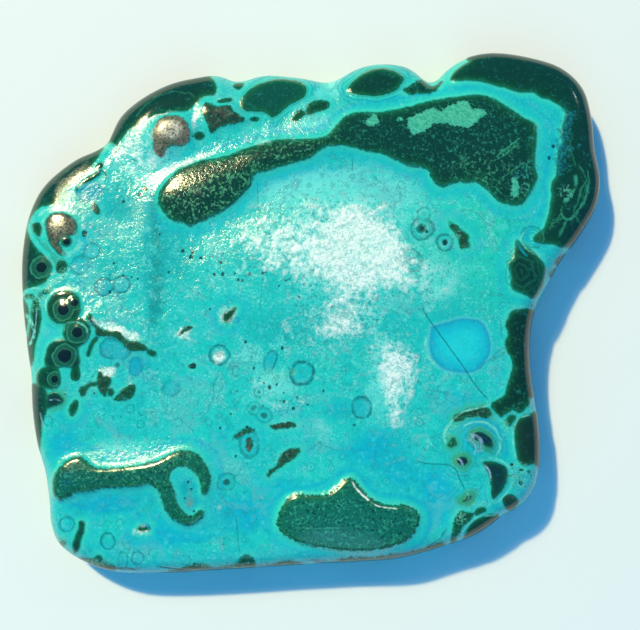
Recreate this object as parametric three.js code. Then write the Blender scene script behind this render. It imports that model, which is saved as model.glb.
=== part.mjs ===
// A polished freeform slab of chrysocolla with malachite, one natural stone.
//
// The stone is a single solid. Its outline is the lobed edge of the botryoidal mass it was cut
// from, its underside is sawn flat, its edge is rounded over all the way round, and its upper face
// keeps the gentle swells of the malachite lumps that grew inside it.
//
// Millimetres, +Z up. The origin is on the underside, in the middle of the stone's bounding box.

import * as THREE from "three";

// Driving dimensions.
const LENGTH = 185; // left to right, along X
const WIDTH = 166; // front to back, along Y
const EDGE_FACE_HEIGHT = 16.5; // height of the upper face near the rim, before the swells
const CROWN = 2.4; // how much higher the upper face is in the middle of the slab
const WAIST_HEIGHT = 8.5; // where the rounded edge stands out furthest
const BACK_ROUNDING = 9.5; // how far in from the waist the edge reaches the face, at the back left
const FRONT_ROUNDING = 5.5; // the same at the front right, where the edge is turned tighter
const LOWER_ROUNDING = 4.5; // how far in from the waist the underside starts

// How finely the surface is divided.
const CELLS_X = 64;
const CELLS_Y = 56;
const UNDERSIDE_STEP = 4; // one underside cell for each so many along the edge
const EDGE_CROWDING = 0.65; // 0 spaces the cells evenly, 1 crowds them towards the rim
const WALL_STEPS = 3;
const SOFTENING_PASSES = 3; // evens out creases that run askew to the cells
const SOFTENING_MARGIN = 2; // cells next to the rim that keep their height

// The outline at the waist, anticlockwise from above, starting at the middle of the left side.
const OUTLINE = [
  [-92.3, 18], [-92.3, 8], [-90, -11], [-88.1, -22], [-87.2, -33], [-85.2, -44], [-82.6, -52],
  [-81, -61], [-80.3, -67.5], [-77.5, -74], [-70, -79.4], [-60, -82.7], [-45, -83.1], [-28, -82.3],
  [-9, -81], [12, -79.8], [26, -78.7], [40.5, -74.9], [50.5, -70.9], [57, -66.4], [65, -61.8],
  [69, -55.5], [70.3, -46], [69.8, -34], [68.3, -24], [68, -13], [69.6, -3], [73, 3.7],
  [79.2, 14.3], [86, 23.8], [90.4, 31.5], [92, 40], [90.6, 49.7], [90, 60], [87.4, 70.8],
  [80.6, 77.9], [71, 81.5], [57, 83.4], [48, 81.2], [42, 76.8], [38.6, 73], [35.9, 74],
  [32.4, 78], [24, 80], [14, 78.4], [7.8, 74.4], [4, 73.2], [-1, 74.6], [-9, 75.7],
  [-16.5, 76.1], [-22.5, 74], [-26.1, 73.7], [-30, 76.3], [-37, 75.4], [-46, 73.2], [-56, 67.3],
  [-62.8, 60.7], [-65.3, 54], [-68.5, 51.2], [-76, 47.8], [-86.7, 38.9], [-90.6, 30],
];

// The outline points at which the surface grid has its corners: front left, front right, back
// right and back left.
const CORNERS = [[-79, -71], [64, -62.5], [86, 73.5], [-88, 37]];

// Swells and hollows of the upper face. Each follows a path; rise is its height at the path, and
// reach is how far from the path it has faded to about a third.
const SWELLS = [
  { name: "long malachite ridge", path: [[-41, 33], [-30, 36], [-18, 43], [4, 50]], rise: 1.9, reach: 7 },
  { name: "broad malachite table", path: [[20, 54], [40, 54], [60, 46]], rise: 1.5, reach: 13 },
  { name: "middle of the slab", path: [[2, 14], [30, 2]], rise: 2.0, reach: 28 },
  { name: "malachite bone", path: [[-73, -55], [-60, -53.5], [-48, -53]], rise: 2.0, reach: 6 },
  { name: "knuckle of the bone", path: [[-38, -52], [-37, -60]], rise: 1.9, reach: 8.5 },
  { name: "front malachite window", path: [[0, -66], [12, -64], [22, -67]], rise: 1.9, reach: 9.5 },
  { name: "lump behind the left shoulder", path: [[-46, 51], [-42, 55]], rise: 2.0, reach: 6 },
  { name: "small lump beside it", path: [[-29, 60], [-27, 57]], rise: 1.4, reach: 5 },
  { name: "left cell, brown", path: [[-78, 22]], rise: 1.3, reach: 6 },
  { name: "left cell, ringed", path: [[-75.7, -2.5]], rise: 1.2, reach: 5.5 },
  { name: "left cell chain", path: [[-72, -10], [-75.5, -17], [-80, -24]], rise: 1.2, reach: 5 },
  { name: "slanting vein ridge", path: [[-66, -7], [-58, -11], [-51, -14]], rise: 1.5, reach: 5.5 },
  { name: "island under the vein", path: [[-64, -24], [-56, -27.5]], rise: 1.0, reach: 5 },
  { name: "right cell, banded", path: [[66, 9], [66, 15]], rise: 1.0, reach: 6 },
  { name: "cell cluster", path: [[48, -38], [47, -48], [55, -53]], rise: 1.3, reach: 9 },
  { name: "valley before the ridge", path: [[-36, 22], [-20, 31], [-2, 40], [38, 33]], rise: -1.0, reach: 6 },
  { name: "valley behind the ridge", path: [[-50, 43], [-30, 50], [-8, 55]], rise: -0.8, reach: 5 },
  { name: "valley in front of the bone", path: [[-72, -62], [-50, -61], [-34, -69]], rise: -0.8, reach: 5 },
  { name: "valley behind the bone", path: [[-82, -44], [-60, -42], [-40, -41]], rise: -0.6, reach: 6 },
  { name: "valley beside the front window", path: [[-15, -58], [-15, -71], [5, -77]], rise: -0.8, reach: 6 },
  { name: "hollow right of the front window", path: [[28, -52], [36, -60], [34, -70]], rise: -1.1, reach: 8 },
  { name: "dip near the left shoulder", path: [[-60, 44], [-56, 30]], rise: -0.8, reach: 8 },
];

function fittedOutline() {
  const curve = new THREE.CatmullRomCurve3(
    OUTLINE.map(([x, y]) => new THREE.Vector3(x, y, 0)), true, "centripetal",
  );
  const fine = curve.getSpacedPoints(2400).slice(0, -1);
  const box = new THREE.Box3().setFromPoints(fine);
  const middle = box.getCenter(new THREE.Vector3());
  const size = box.getSize(new THREE.Vector3());
  return fine.map((p) =>
    new THREE.Vector2(
      ((p.x - middle.x) * LENGTH) / size.x,
      ((p.y - middle.y) * WIDTH) / size.y,
    ),
  );
}

const outline = fittedOutline();

function nearestIndex([x, y]) {
  let best = 0;
  outline.forEach((p, i) => {
    if (Math.hypot(p.x - x, p.y - y) < Math.hypot(outline[best].x - x, outline[best].y - y)) best = i;
  });
  return best;
}

// One side of the outline, between two corners, as a function of the share of its length.
function outlineSide(from, to) {
  const start = nearestIndex(from);
  const span = (nearestIndex(to) - start + outline.length) % outline.length;
  return (share) => {
    const place = start + share * span;
    const whole = Math.floor(place);
    const a = outline[whole % outline.length];
    const b = outline[(whole + 1) % outline.length];
    return new THREE.Vector2().lerpVectors(a, b, place - whole);
  };
}

const [frontLeft, frontRight, backRight, backLeft] = CORNERS;
const front = outlineSide(frontLeft, frontRight);
const right = outlineSide(frontRight, backRight);
const back = outlineSide(backRight, backLeft);
const left = outlineSide(backLeft, frontLeft);

// A point of the plan, for u and v from 0 to 1, blended from the four sides of the outline.
function planPoint(u, v) {
  const point = new THREE.Vector2();
  point.addScaledVector(front(u), 1 - v).addScaledVector(back(1 - u), v);
  point.addScaledVector(left(1 - v), 1 - u).addScaledVector(right(v), u);
  point.addScaledVector(front(0), -(1 - u) * (1 - v)).addScaledVector(front(1), -u * (1 - v));
  point.addScaledVector(back(1), -(1 - u) * v).addScaledVector(back(0), -u * v);
  return point;
}

function crowded(share) {
  const cosine = 0.5 - 0.5 * Math.cos(Math.PI * share);
  return THREE.MathUtils.lerp(share, cosine, EDGE_CROWDING);
}

function distanceToSegment(p, a, b) {
  const along = new THREE.Vector2().subVectors(b, a);
  const share = along.lengthSq() === 0
    ? 0
    : THREE.MathUtils.clamp(new THREE.Vector2().subVectors(p, a).dot(along) / along.lengthSq(), 0, 1);
  return p.distanceTo(along.multiplyScalar(share).add(a));
}

function distanceToPath(p, path) {
  const points = path.map(([x, y]) => new THREE.Vector2(x, y));
  if (points.length === 1) return p.distanceTo(points[0]);
  return Math.min(...points.slice(1).map((b, i) => distanceToSegment(p, points[i], b)));
}

function distanceToOutline(p) {
  return Math.min(...outline.map((a, i) => distanceToSegment(p, a, outline[(i + 1) % outline.length])));
}

function faceHeight(p) {
  const fromMiddle = Math.hypot(p.x / (LENGTH / 2), p.y / (WIDTH / 2));
  const crown = CROWN * Math.max(0, 1 - fromMiddle ** 2);
  const swells = SWELLS.reduce(
    (sum, s) => sum + s.rise * Math.exp(-((distanceToPath(p, s.path) / s.reach) ** 2)), 0,
  );
  return EDGE_FACE_HEIGHT + crown + swells;
}

// The edge is turned over a broad band at the back left and a narrow one at the front right.
function edgeRounding(p) {
  const towardsBackLeft = THREE.MathUtils.smoothstep(p.y / WIDTH - p.x / LENGTH, -1, 1);
  return THREE.MathUtils.lerp(FRONT_ROUNDING, BACK_ROUNDING, towardsBackLeft);
}

// The upper surface: the face, rounded over to the waist at the outline.
function upperHeight(p, inset) {
  const share = Math.min(inset / edgeRounding(p), 1);
  const roundOver = Math.sqrt(1 - (1 - share) ** 2);
  return WAIST_HEIGHT + (faceHeight(p) - WAIST_HEIGHT) * roundOver;
}

// Heights half way to the mean of their four neighbours, away from the rim.
function softened(heights) {
  return heights.map((row, j) => row.map((height, i) => {
    const cellsToRim = Math.min(i, j, CELLS_X - i, CELLS_Y - j);
    if (cellsToRim < SOFTENING_MARGIN) return height;
    const around = heights[j - 1][i] + heights[j + 1][i] + row[i - 1] + row[i + 1];
    return (height + around / 4) / 2;
  }));
}

function buildStone() {
  const positions = [];
  const indices = [];
  const addVertex = (p, z) => positions.push(p.x, p.y, z) / 3 - 1;
  const addQuad = (a, b, c, d) => indices.push(a, b, c, a, c, d);

  // Upper surface, on a grid whose border is the outline.
  const plan = [];
  let heights = [];
  for (let j = 0; j <= CELLS_Y; j++) {
    plan.push([]);
    heights.push([]);
    for (let i = 0; i <= CELLS_X; i++) {
      const onBorder = i === 0 || j === 0 || i === CELLS_X || j === CELLS_Y;
      const p = planPoint(crowded(i / CELLS_X), crowded(j / CELLS_Y));
      plan[j].push(p);
      heights[j].push(onBorder ? WAIST_HEIGHT : upperHeight(p, distanceToOutline(p)));
    }
  }
  for (let pass = 0; pass < SOFTENING_PASSES; pass++) heights = softened(heights);
  const grid = plan.map((row, j) => row.map((p, i) => addVertex(p, heights[j][i])));
  for (let j = 0; j < CELLS_Y; j++) {
    for (let i = 0; i < CELLS_X; i++) {
      addQuad(grid[j][i], grid[j][i + 1], grid[j + 1][i + 1], grid[j + 1][i]);
    }
  }

  // The border of a grid, anticlockwise, as pairs of cell numbers.
  const borderCells = (nx, ny) => {
    const cells = [];
    for (let i = 0; i < nx; i++) cells.push([i, 0]);
    for (let j = 0; j < ny; j++) cells.push([nx, j]);
    for (let i = nx; i > 0; i--) cells.push([i, ny]);
    for (let j = ny; j > 0; j--) cells.push([0, j]);
    return cells;
  };

  // The wall below the waist curves in to the underside. Each ring is drawn in along the
  // outline's own normal, which is averaged over a few neighbours so that notches stay open.
  const border = borderCells(CELLS_X, CELLS_Y).map(([i, j]) => grid[j][i]);
  const count = border.length;
  const waist = border.map((v) => new THREE.Vector2(positions[3 * v], positions[3 * v + 1]));
  const inward = waist.map((_, i) => {
    const before = waist[(i - 2 + count) % count];
    const after = waist[(i + 2) % count];
    return new THREE.Vector2(before.y - after.y, after.x - before.x).normalize();
  });
  let ring = border;
  for (let step = 1; step <= WALL_STEPS; step++) {
    const angle = (Math.PI / 2) * (step / WALL_STEPS);
    const inset = LOWER_ROUNDING * (1 - Math.cos(angle));
    const z = WAIST_HEIGHT * (1 - Math.sin(angle));
    const next = waist.map((p, i) => addVertex(p.clone().addScaledVector(inward[i], inset), z));
    ring.forEach((v, i) => {
      const n = (i + 1) % count;
      addQuad(v, next[i], next[n], ring[n]);
    });
    ring = next;
  }

  // Underside: a coarser grid, whose border is tied to every fourth vertex of the last ring.
  const nx = CELLS_X / UNDERSIDE_STEP;
  const ny = CELLS_Y / UNDERSIDE_STEP;
  const shrink = 1 - (2 * (LOWER_ROUNDING + 3)) / Math.min(LENGTH, WIDTH);
  const under = [];
  for (let j = 0; j <= ny; j++) {
    under.push([]);
    for (let i = 0; i <= nx; i++) {
      const p = planPoint(crowded(i / nx), crowded(j / ny)).multiplyScalar(shrink);
      under[j].push(addVertex(p, 0));
    }
  }
  for (let j = 0; j < ny; j++) {
    for (let i = 0; i < nx; i++) {
      addQuad(under[j][i], under[j + 1][i], under[j + 1][i + 1], under[j][i + 1]);
    }
  }
  const underBorder = borderCells(nx, ny).map(([i, j]) => under[j][i]);
  underBorder.forEach((v, k) => {
    const next = underBorder[(k + 1) % underBorder.length];
    const half = UNDERSIDE_STEP / 2;
    for (let s = 0; s < UNDERSIDE_STEP; s++) {
      const a = ring[(k * UNDERSIDE_STEP + s) % count];
      const b = ring[(k * UNDERSIDE_STEP + s + 1) % count];
      indices.push(a, s < half ? v : next, b);
      if (s === half - 1) indices.push(b, v, next);
    }
  });

  const geometry = new THREE.BufferGeometry();
  geometry.setAttribute("position", new THREE.Float32BufferAttribute(positions, 3));
  geometry.setIndex(indices);
  geometry.computeVertexNormals();
  return geometry;
}

const polishedStone = new THREE.MeshStandardMaterial({ color: 0x2fb5ad, roughness: 0.25, metalness: 0 });

const slab = new THREE.Mesh(buildStone(), polishedStone);
slab.name = "chrysocolla_slab";

const specimen = new THREE.Group();
specimen.add(slab);

export default specimen;
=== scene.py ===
import math

import bmesh
import bpy
import numpy as np
from mathutils.geometry import delaunay_2d_cdt
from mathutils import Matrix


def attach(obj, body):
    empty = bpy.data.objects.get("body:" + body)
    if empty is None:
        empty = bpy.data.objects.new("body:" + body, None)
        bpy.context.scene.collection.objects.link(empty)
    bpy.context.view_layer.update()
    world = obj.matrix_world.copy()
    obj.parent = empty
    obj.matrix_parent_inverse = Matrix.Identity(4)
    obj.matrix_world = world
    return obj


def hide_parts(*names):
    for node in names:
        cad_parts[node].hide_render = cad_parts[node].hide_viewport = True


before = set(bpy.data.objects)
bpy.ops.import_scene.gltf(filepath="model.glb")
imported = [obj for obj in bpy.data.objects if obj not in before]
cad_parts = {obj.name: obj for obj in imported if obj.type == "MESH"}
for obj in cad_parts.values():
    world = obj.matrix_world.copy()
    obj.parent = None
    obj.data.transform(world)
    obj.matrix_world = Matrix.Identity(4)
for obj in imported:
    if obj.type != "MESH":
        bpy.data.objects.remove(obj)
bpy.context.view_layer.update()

# ---------------------------------------------------------------------------------------------
# The sawn slab. One freeform slab of chrysocolla, sawn flat underneath and rounded over at the
# rim on a soft wheel. Its shape is the frame's, divided finely enough to carry the relief that
# the polish leaves.

MM = 0.001
sawn_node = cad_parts["chrysocolla_slab"]
FACE_HEIGHT = 19  # mm, the level on which all the outlines below are laid out
LEAN = 0.0035  # a chosen share by which they draw in to the slab's middle per mm further down
WELD = 0.001 * MM  # corners closer than this are one
FLAT_BELOW = 0.01 * MM  # faces under this height are the underside
SMOOTHINGS = 2


def quad_mesh_of(node):
    """The node's upper face and wall as a smooth mesh of quads, open underneath."""
    shape = bmesh.new()
    shape.from_mesh(node.data)
    bmesh.ops.remove_doubles(shape, verts=shape.verts, dist=WELD)
    underside = [f for f in shape.faces if f.calc_center_median().z < FLAT_BELOW]
    bmesh.ops.delete(shape, geom=underside, context="FACES")
    bmesh.ops.join_triangles(
        shape, faces=shape.faces[:], angle_face_threshold=math.pi,
        angle_shape_threshold=math.pi, topology_influence=2.0,
    )
    mesh = bpy.data.meshes.new("slab_quads")
    shape.to_mesh(mesh)
    shape.free()
    holder = bpy.data.objects.new("slab_quads", mesh)
    bpy.context.scene.collection.objects.link(holder)
    smooth = holder.modifiers.new("smooth", "SUBSURF")
    smooth.levels = SMOOTHINGS
    seen = holder.evaluated_get(bpy.context.evaluated_depsgraph_get())
    fine = bpy.data.meshes.new_from_object(seen)
    bpy.data.objects.remove(holder)
    bpy.data.meshes.remove(mesh)
    return fine


def face_places(positions):
    """Where each point of the surface falls on the level on which the outlines are laid out."""
    plan = positions[:, :2] / MM
    height = positions[:, 2:] / MM
    return plan * (1 - LEAN * (FACE_HEIGHT - height))


def positions_of(mesh):
    flat = np.empty(len(mesh.vertices) * 3, np.float32)
    mesh.vertices.foreach_get("co", flat)
    return flat.reshape(-1, 3).astype(float)


# ---------------------------------------------------------------------------------------------
# The malachite windows. Dark green copper carbonate that grew as lumps and crusts inside the
# stone and shows where the saw and the wheel have cut their crests. It is harder than the
# chrysocolla round it, so each window stands a little proud.

windows = []


def window(name, outline, **look):
    """One window: grain, brown, navy, leafy and halo are shares; rise and flank are in mm; fringe
    is the strength of the bands round it, and layers that of the banding beyond them."""
    kind = dict(grain=0.0, brown=0.0, navy=0.0, leafy=0.1, halo=0.0, rise=0.25, flank=1.5,
                fringe=0.3, layers=0.0)
    kind.update(look)
    windows.append({"name": name, "outline": outline, **kind})


def ring(x, y, across, along=None, turn=0.0, corners=10):
    """The corners of an ellipse, turned by so many degrees."""
    along = across if along is None else along
    c, s = math.cos(math.radians(turn)), math.sin(math.radians(turn))
    spots = [(across * math.cos(a), along * math.sin(a))
             for a in np.linspace(0, 2 * math.pi, corners, endpoint=False)]
    return [(x + c * u - s * v, y + s * u + c * v) for u, v in spots]


window("long ridge and broad table", [
    (-47.4, 31), (-47, 34), (-45.5, 36.5), (-43.5, 39), (-40.2, 41.8), (-35, 43.8), (-30, 44.7),
    (-24.8, 46), (-20.2, 47.9), (-13, 50.1), (-9.9, 50.6), (0, 50.9), (4, 51.4), (6.2, 53),
    (8.1, 55.3), (10, 57.5), (12.8, 59.1), (15.6, 59.6), (20, 59.5), (24.7, 60.1), (30.7, 61.4),
    (37.2, 63.3), (44.7, 64.6), (50, 65.4), (55, 64.9), (60, 62.4), (65.5, 58.5), (69.7, 55.9),
    (69.9, 53.7), (69.4, 47.9), (69.2, 42.4), (69.7, 39), (68.1, 35.2), (66.2, 32.3), (63.9, 30.5),
    (59.8, 30.8), (57.7, 32), (55.5, 34.5), (51.5, 37.7), (49.2, 37.7), (45.4, 37.7), (42.3, 36.8),
    (40.1, 36.4), (38.3, 37.7), (36.5, 41.5), (33.8, 42.5), (30, 43.1), (26.7, 44.7), (23.9, 45.9),
    (20.2, 47.2), (16.4, 47.9), (10.3, 49.2), (6.5, 49), (3.4, 48.5), (0, 45.7), (-5.5, 43.8),
    (-9.9, 42.5), (-15, 40.9), (-18, 39.9), (-19.9, 36.2), (-22.4, 33), (-25.2, 30.5),
    (-28.2, 28.3), (-31.5, 26.7), (-35.8, 24.8), (-37.6, 24), (-40.2, 25.3), (-42.7, 25.5),
    (-45.3, 27.4)], grain=0.35, leafy=0.15, rise=0.7, flank=2.8, fringe=0.9)
window("front window", [
    (-9.8, -67), (-9.3, -63.5), (-7.6, -60.6), (-4.2, -58.6), (0, -59), (4.5, -58.7), (7.8, -56.6),
    (10.9, -53.8), (12.4, -54.2), (14.8, -57.2), (17.8, -59.8), (20.6, -61.2), (24, -61.6),
    (27.6, -61.5), (30.2, -62.6), (31.8, -64.5), (31, -67.5), (28.8, -70.2), (25.2, -72.4),
    (20, -73.8), (15, -74.2), (10, -74), (5, -73.4), (0, -72.6), (-4, -71.6), (-8, -69.6)],
    grain=0.9, leafy=1.0, rise=0.8, flank=2.5, fringe=1.0)
window("bone and knuckle", [
    (-76.8, -57.8), (-75.3, -59), (-73, -58.6), (-70, -57.5), (-66, -56.8), (-62, -55.8),
    (-58, -55.8), (-54, -55.9), (-51, -55.4), (-48.8, -55), (-46.8, -55.8), (-45.2, -57.8),
    (-44.4, -60), (-43.3, -62.5), (-41.5, -64.6), (-39.5, -66), (-37, -66.8), (-35, -66.4),
    (-33.4, -65.2), (-32.3, -63.6), (-33.2, -62.9), (-34.3, -63.9), (-36.3, -64.6), (-38.2, -63.6),
    (-39.8, -61.5), (-40.9, -58.8), (-42, -56), (-42.9, -53.6), (-42.6, -51.6), (-41.3, -50.2),
    (-39.3, -49.6), (-37.4, -49.8), (-35.8, -50.7), (-34.3, -52.1), (-33.2, -53.8), (-32.8, -55.8),
    (-32.5, -57.8), (-31.7, -58.2), (-31, -56.5), (-30.6, -54.3), (-31, -51.8), (-32.2, -49.3),
    (-34, -47.2), (-36.6, -45.7), (-39.2, -45.4), (-42, -46.3), (-44.3, -47.6), (-47, -48.8),
    (-50, -49.5), (-54, -50.2), (-58, -50.6), (-62, -50.8), (-65, -50.4), (-67, -49.2),
    (-68.8, -47.6), (-70.6, -47.2), (-72.8, -48), (-75, -49.7), (-76.6, -52.2), (-77.2, -55)],
    grain=0.7, leafy=0.9, navy=0.05, rise=0.8, flank=2.6, fringe=0.7)
window("rim behind the left shoulder", [
    (-62.5, 50.3), (-61.3, 49.5), (-58.2, 53.7), (-54.8, 56.3), (-50, 58.9), (-44.5, 60.1),
    (-40, 60.6), (-37.1, 62.6), (-33.8, 65.5), (-31, 66), (-30.2, 67.9), (-31, 70.5), (-33, 73.5),
    (-35, 80), (-48, 80), (-60, 71), (-68, 60), (-66.5, 53.5)], grain=0.05, rise=0, fringe=0.5)
window("left rim", [
    (-66.8, 50.6), (-65.5, 48.9), (-67, 46.3), (-68.2, 44), (-70.8, 41), (-73.8, 37.8),
    (-77.5, 36), (-79, 33.5), (-79.5, 31.3), (-84, 30.2), (-87, 27.5), (-88.3, 24), (-87, 19.5),
    (-84.5, 16), (-82, 13.5), (-80.2, 11), (-80.8, 8), (-83, 5.6), (-87.5, 4.6), (-97, 3),
    (-99, 28), (-90, 48), (-76, 57), (-69, 53)], grain=0.1, rise=0, fringe=0.4)
window("upper right rim", [
    (49.9, 77), (46, 74), (44, 71.3), (46.4, 70.8), (49.3, 70.9), (52, 70.6), (56, 69.8),
    (60.1, 68.5), (65.7, 66.9), (69.8, 66.9), (72, 65.3), (74.8, 64.6), (77.2, 63.3), (79.3, 61.4),
    (79.8, 58.8), (78.4, 53.7), (78.6, 50.4), (77.2, 47.3), (76.3, 40), (74.9, 37), (74.7, 32.7),
    (73.9, 28), (72.9, 24.8), (71.9, 22.6), (70, 21), (68.8, 19.8), (69.3, 18.6), (74.9, 18.1),
    (77.9, 17.6), (86, 20), (99, 30), (99, 78), (76, 92), (52, 90), (48, 82)],
    grain=0.03, rise=0.3, fringe=0.9)
window("lump behind the left shoulder", [
    (-50, 52), (-48.5, 56.5), (-46, 58.5), (-42, 58.5), (-39.3, 56), (-38.2, 52), (-39.5, 50),
    (-42, 49.2), (-45, 48.7), (-47, 45.8), (-49, 47.5)], grain=0.7, brown=1.0, rise=0.9, flank=6.0)
window("small lump", [
    (-34.1, 62.7), (-32.2, 63), (-30.3, 61.7), (-26.2, 62), (-25, 60), (-21.2, 57.8),
    (-22.4, 56.9), (-26.8, 55.9), (-30.2, 54.3), (-31, 53.2), (-32.1, 54.6), (-33, 56.9),
    (-34, 59.4), (-34.6, 61)], grain=0.7, brown=0.5, rise=0.7, flank=3.5)
window("smear beside the lump", ring(-35.3, 52.3, 1.5, 1.2), brown=0.1, rise=0, fringe=0.4)
window("speck beside the small lump", ring(-18.2, 57.8, 1.4, 0.6), rise=0.1)
window("streak over the small lump", ring(-27.5, 63.8, 2.2, 0.5, 10), rise=0.1)
window("speck near the top", [
    (-24.7, 68.8), (-24.2, 69.6), (-21.7, 69.8), (-22.5, 68.3), (-23.5, 67.9)], rise=0.1)
window("left oval", [
    (-21.9, 63.3), (-21.5, 64.7), (-19.3, 67.3), (-16.2, 69.2), (-12.5, 70.5), (-9, 70.8),
    (-5.6, 70.3), (-3.1, 69.2), (-2.2, 67.5), (-2.8, 65.6), (-5, 64), (-7.2, 62.7), (-9.4, 60.8),
    (-11.3, 59.4), (-12.5, 58.8), (-13.8, 59.8), (-16.3, 60.7), (-18.7, 60.6), (-21.1, 61),
    (-22, 62)], grain=0.1, leafy=0.4, rise=0.3, fringe=1.0, layers=0.8)
window("right oval", [
    (11.9, 68.5), (14.1, 70.8), (16.6, 72.7), (19.8, 74), (22.9, 74.3), (25.7, 73.4), (27.9, 72.1),
    (28.5, 70.8), (27.2, 68.5), (25.7, 67.2), (22.9, 66.2), (19.7, 65.7), (16.6, 65.9),
    (14.1, 66.2), (12.2, 66.9), (11.7, 67.9)], grain=0.05, rise=0.3, fringe=1.0, layers=0.8)
window("between the ovals, left", [
    (-6.5, 57.6), (-5, 59.5), (-4, 60.8), (-3, 60.5), (-2.3, 59.5), (-3.5, 58.3), (-5.2, 57.4)],
    rise=0.1)
window("between the ovals, right", [
    (-1.5, 62), (0.5, 63.5), (3, 63.8), (5.2, 63.3), (4.8, 61.5), (2.5, 60.5), (0.8, 60),
    (-0.8, 59.3), (-1.8, 60)], grain=0.2, rise=0.1)
window("notch beside the right oval", [
    (28.8, 67.6), (31, 68.5), (34, 70.8), (38, 68.6), (41, 70.5), (38, 66.8), (34, 66.3),
    (31, 65.8)], grain=0.6, rise=0.0, fringe=0.4)
window("banded cell at the right", [
    (63.2, 18.9), (65, 17.3), (67.2, 15.8), (69.3, 13.9), (71, 11.7), (71.5, 9.9), (71.1, 7.4),
    (70.1, 4.7), (68.8, 2.5), (67.6, 1.6), (66.1, 2.2), (64.3, 2.8), (62.2, 3.7), (61.3, 5.3),
    (61.4, 7.7), (60.9, 11.4), (62.2, 13.3), (62.9, 17.3)], grain=0.1, rise=0.3, fringe=0.9)
window("right rim", [
    (60.6, -3.6), (59.6, -7), (60, -10), (59, -13), (59.8, -15.5), (60.8, -18), (61, -20.5),
    (60.2, -23.5), (59.4, -26), (58.4, -28.4), (56.6, -30), (54.6, -31), (54.6, -32.6), (56, -34),
    (57.3, -34.8), (58.8, -33.7), (60.6, -32.8), (62.4, -33.5), (64.2, -32.6), (65.6, -31),
    (66.8, -28.5), (78, -27), (78, -2), (69, -2), (65, -2.6), (62, -2.9)],
    grain=0.2, leafy=0, rise=0.2, fringe=0.4)
window("right rim, small cell", [
    (58.5, -36.5), (59.8, -35), (61.3, -34.8), (60.8, -36), (60, -37.4), (59.3, -37.8)],
    rise=0.1, fringe=0.8)
window("right rim, large cell", [
    (61, -38), (62, -36.3), (63.8, -35), (66, -34), (72, -33), (73, -50), (66.5, -48.6),
    (64.5, -49.3), (62.8, -48.9), (61.8, -47), (61.5, -44), (61.2, -41)], brown=0.2, leafy=0,
    rise=0.2, fringe=0.6)
window("bar over the nodules", [
    (42.8, -36.6), (43.3, -35.2), (45.5, -34), (47.5, -32.9), (50, -32.6), (52, -32.3),
    (54, -33.8), (54.2, -34.6), (52.5, -35.5), (49.5, -35), (47, -35.2), (44.5, -36.2)],
    grain=0.6, brown=0.3, halo=0.4, rise=0.2, fringe=0.5, layers=0.3)
window("wedge beside the nodules", [
    (41, -43.8), (42, -41.5), (43.5, -43), (42.5, -44.2)], grain=0.6, halo=0.5, rise=0.1,
    fringe=0.4, layers=0.3)
window("large nodule", [
    (48.5, -40.5), (50.5, -39.6), (53, -40.8), (54.3, -43), (54, -44.4), (52.3, -44),
    (50.8, -42.6), (49, -42)], navy=0.9, halo=0.9, rise=0.3, flank=1.2, layers=0.8)
window("middle nodule", ring(45.2, -48.3, 1.6, 1.2, -10), navy=0.9, halo=0.9,
       rise=0.3, fringe=0.4, layers=0.4)
window("lower nodule", [
    (44.8, -60), (45.6, -59.2), (46.6, -58.4), (47.8, -58.4), (47.2, -59.4), (46, -60.2)],
    navy=0.4, halo=1.0, rise=0.2, layers=0.4)
window("crescent", [
    (51.5, -48.8), (52.8, -48.5), (55.5, -49), (57.8, -50), (58.5, -52), (58.3, -54), (57, -56.5),
    (55.5, -58.2), (54.2, -59.2), (53.7, -58), (53.8, -55), (53.5, -52.5), (52.5, -50.5)],
    navy=0.5, rise=0.3, fringe=0.5, layers=0.3)
window("lower right crust", [
    (42.8, -64.6), (44.3, -62.9), (46, -63.3), (48, -63.8), (46.5, -65.5), (45, -67),
    (43.6, -69.4), (42.2, -71.4), (40, -72.8), (37.5, -74), (36.8, -75.4), (39.5, -74.8),
    (41.2, -72.5), (41.8, -69), (42.4, -66.5)], grain=0.5, rise=0.1, fringe=0.5)
window("lower right bead", [
    (48.5, -63.5), (49.5, -62.3), (51.5, -61.8), (51.7, -62.7), (50, -63.6), (49, -64)], rise=0.1)
window("lower right lens", [
    (45.3, -70.5), (46.3, -68.5), (48, -66.5), (50.5, -64.8), (53.5, -64), (55.5, -64.4),
    (54, -67), (50, -71), (46, -73)], rise=0.2, fringe=0.8)
window("lower right oval", [
    (57.2, -60), (57.5, -58.7), (59, -58), (60.5, -58.4), (61.5, -60), (59.5, -62), (57.8, -61.6)],
    brown=0.4, rise=0.1)
window("brown cell", [
    (-82.2, 25), (-81, 27), (-79, 27.7), (-76.5, 27.2), (-74.2, 25.8), (-73.1, 23.5),
    (-73.3, 21.3), (-75.5, 20.9), (-77.5, 19.8), (-78.3, 18.2), (-77.6, 16.6), (-76.3, 15.1),
    (-77.2, 14.8), (-79, 16.2), (-80.7, 18.6), (-81.7, 21.5)], grain=0.35, brown=0.75, rise=0.4,
    fringe=0.9)
window("bead under the brown cell", ring(-75.8, 18.8, 1.4), rise=0.2, fringe=0.8)
window("bead in the left veins", ring(-77, 10.9, 1.6, 2.0), grain=0.2, rise=0.1)
window("orb body", ring(-75.8, -1.8, 4.9, 5.0), grain=0.15, brown=0.15, rise=0.4, flank=2,
       fringe=0.9, layers=0.5)
window("orb under it", ring(-71.6, -9.4, 3.9, 4.0), rise=0.3, fringe=0.8)
window("neck of the orbs", [
    (-74.8, -6.4), (-72, -5.8), (-69.5, -7), (-69.5, -12), (-71.5, -13.7), (-74, -12.5),
    (-75.5, -9.5)], grain=0.2, navy=0.3, rise=0.1, fringe=0.7)
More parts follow.
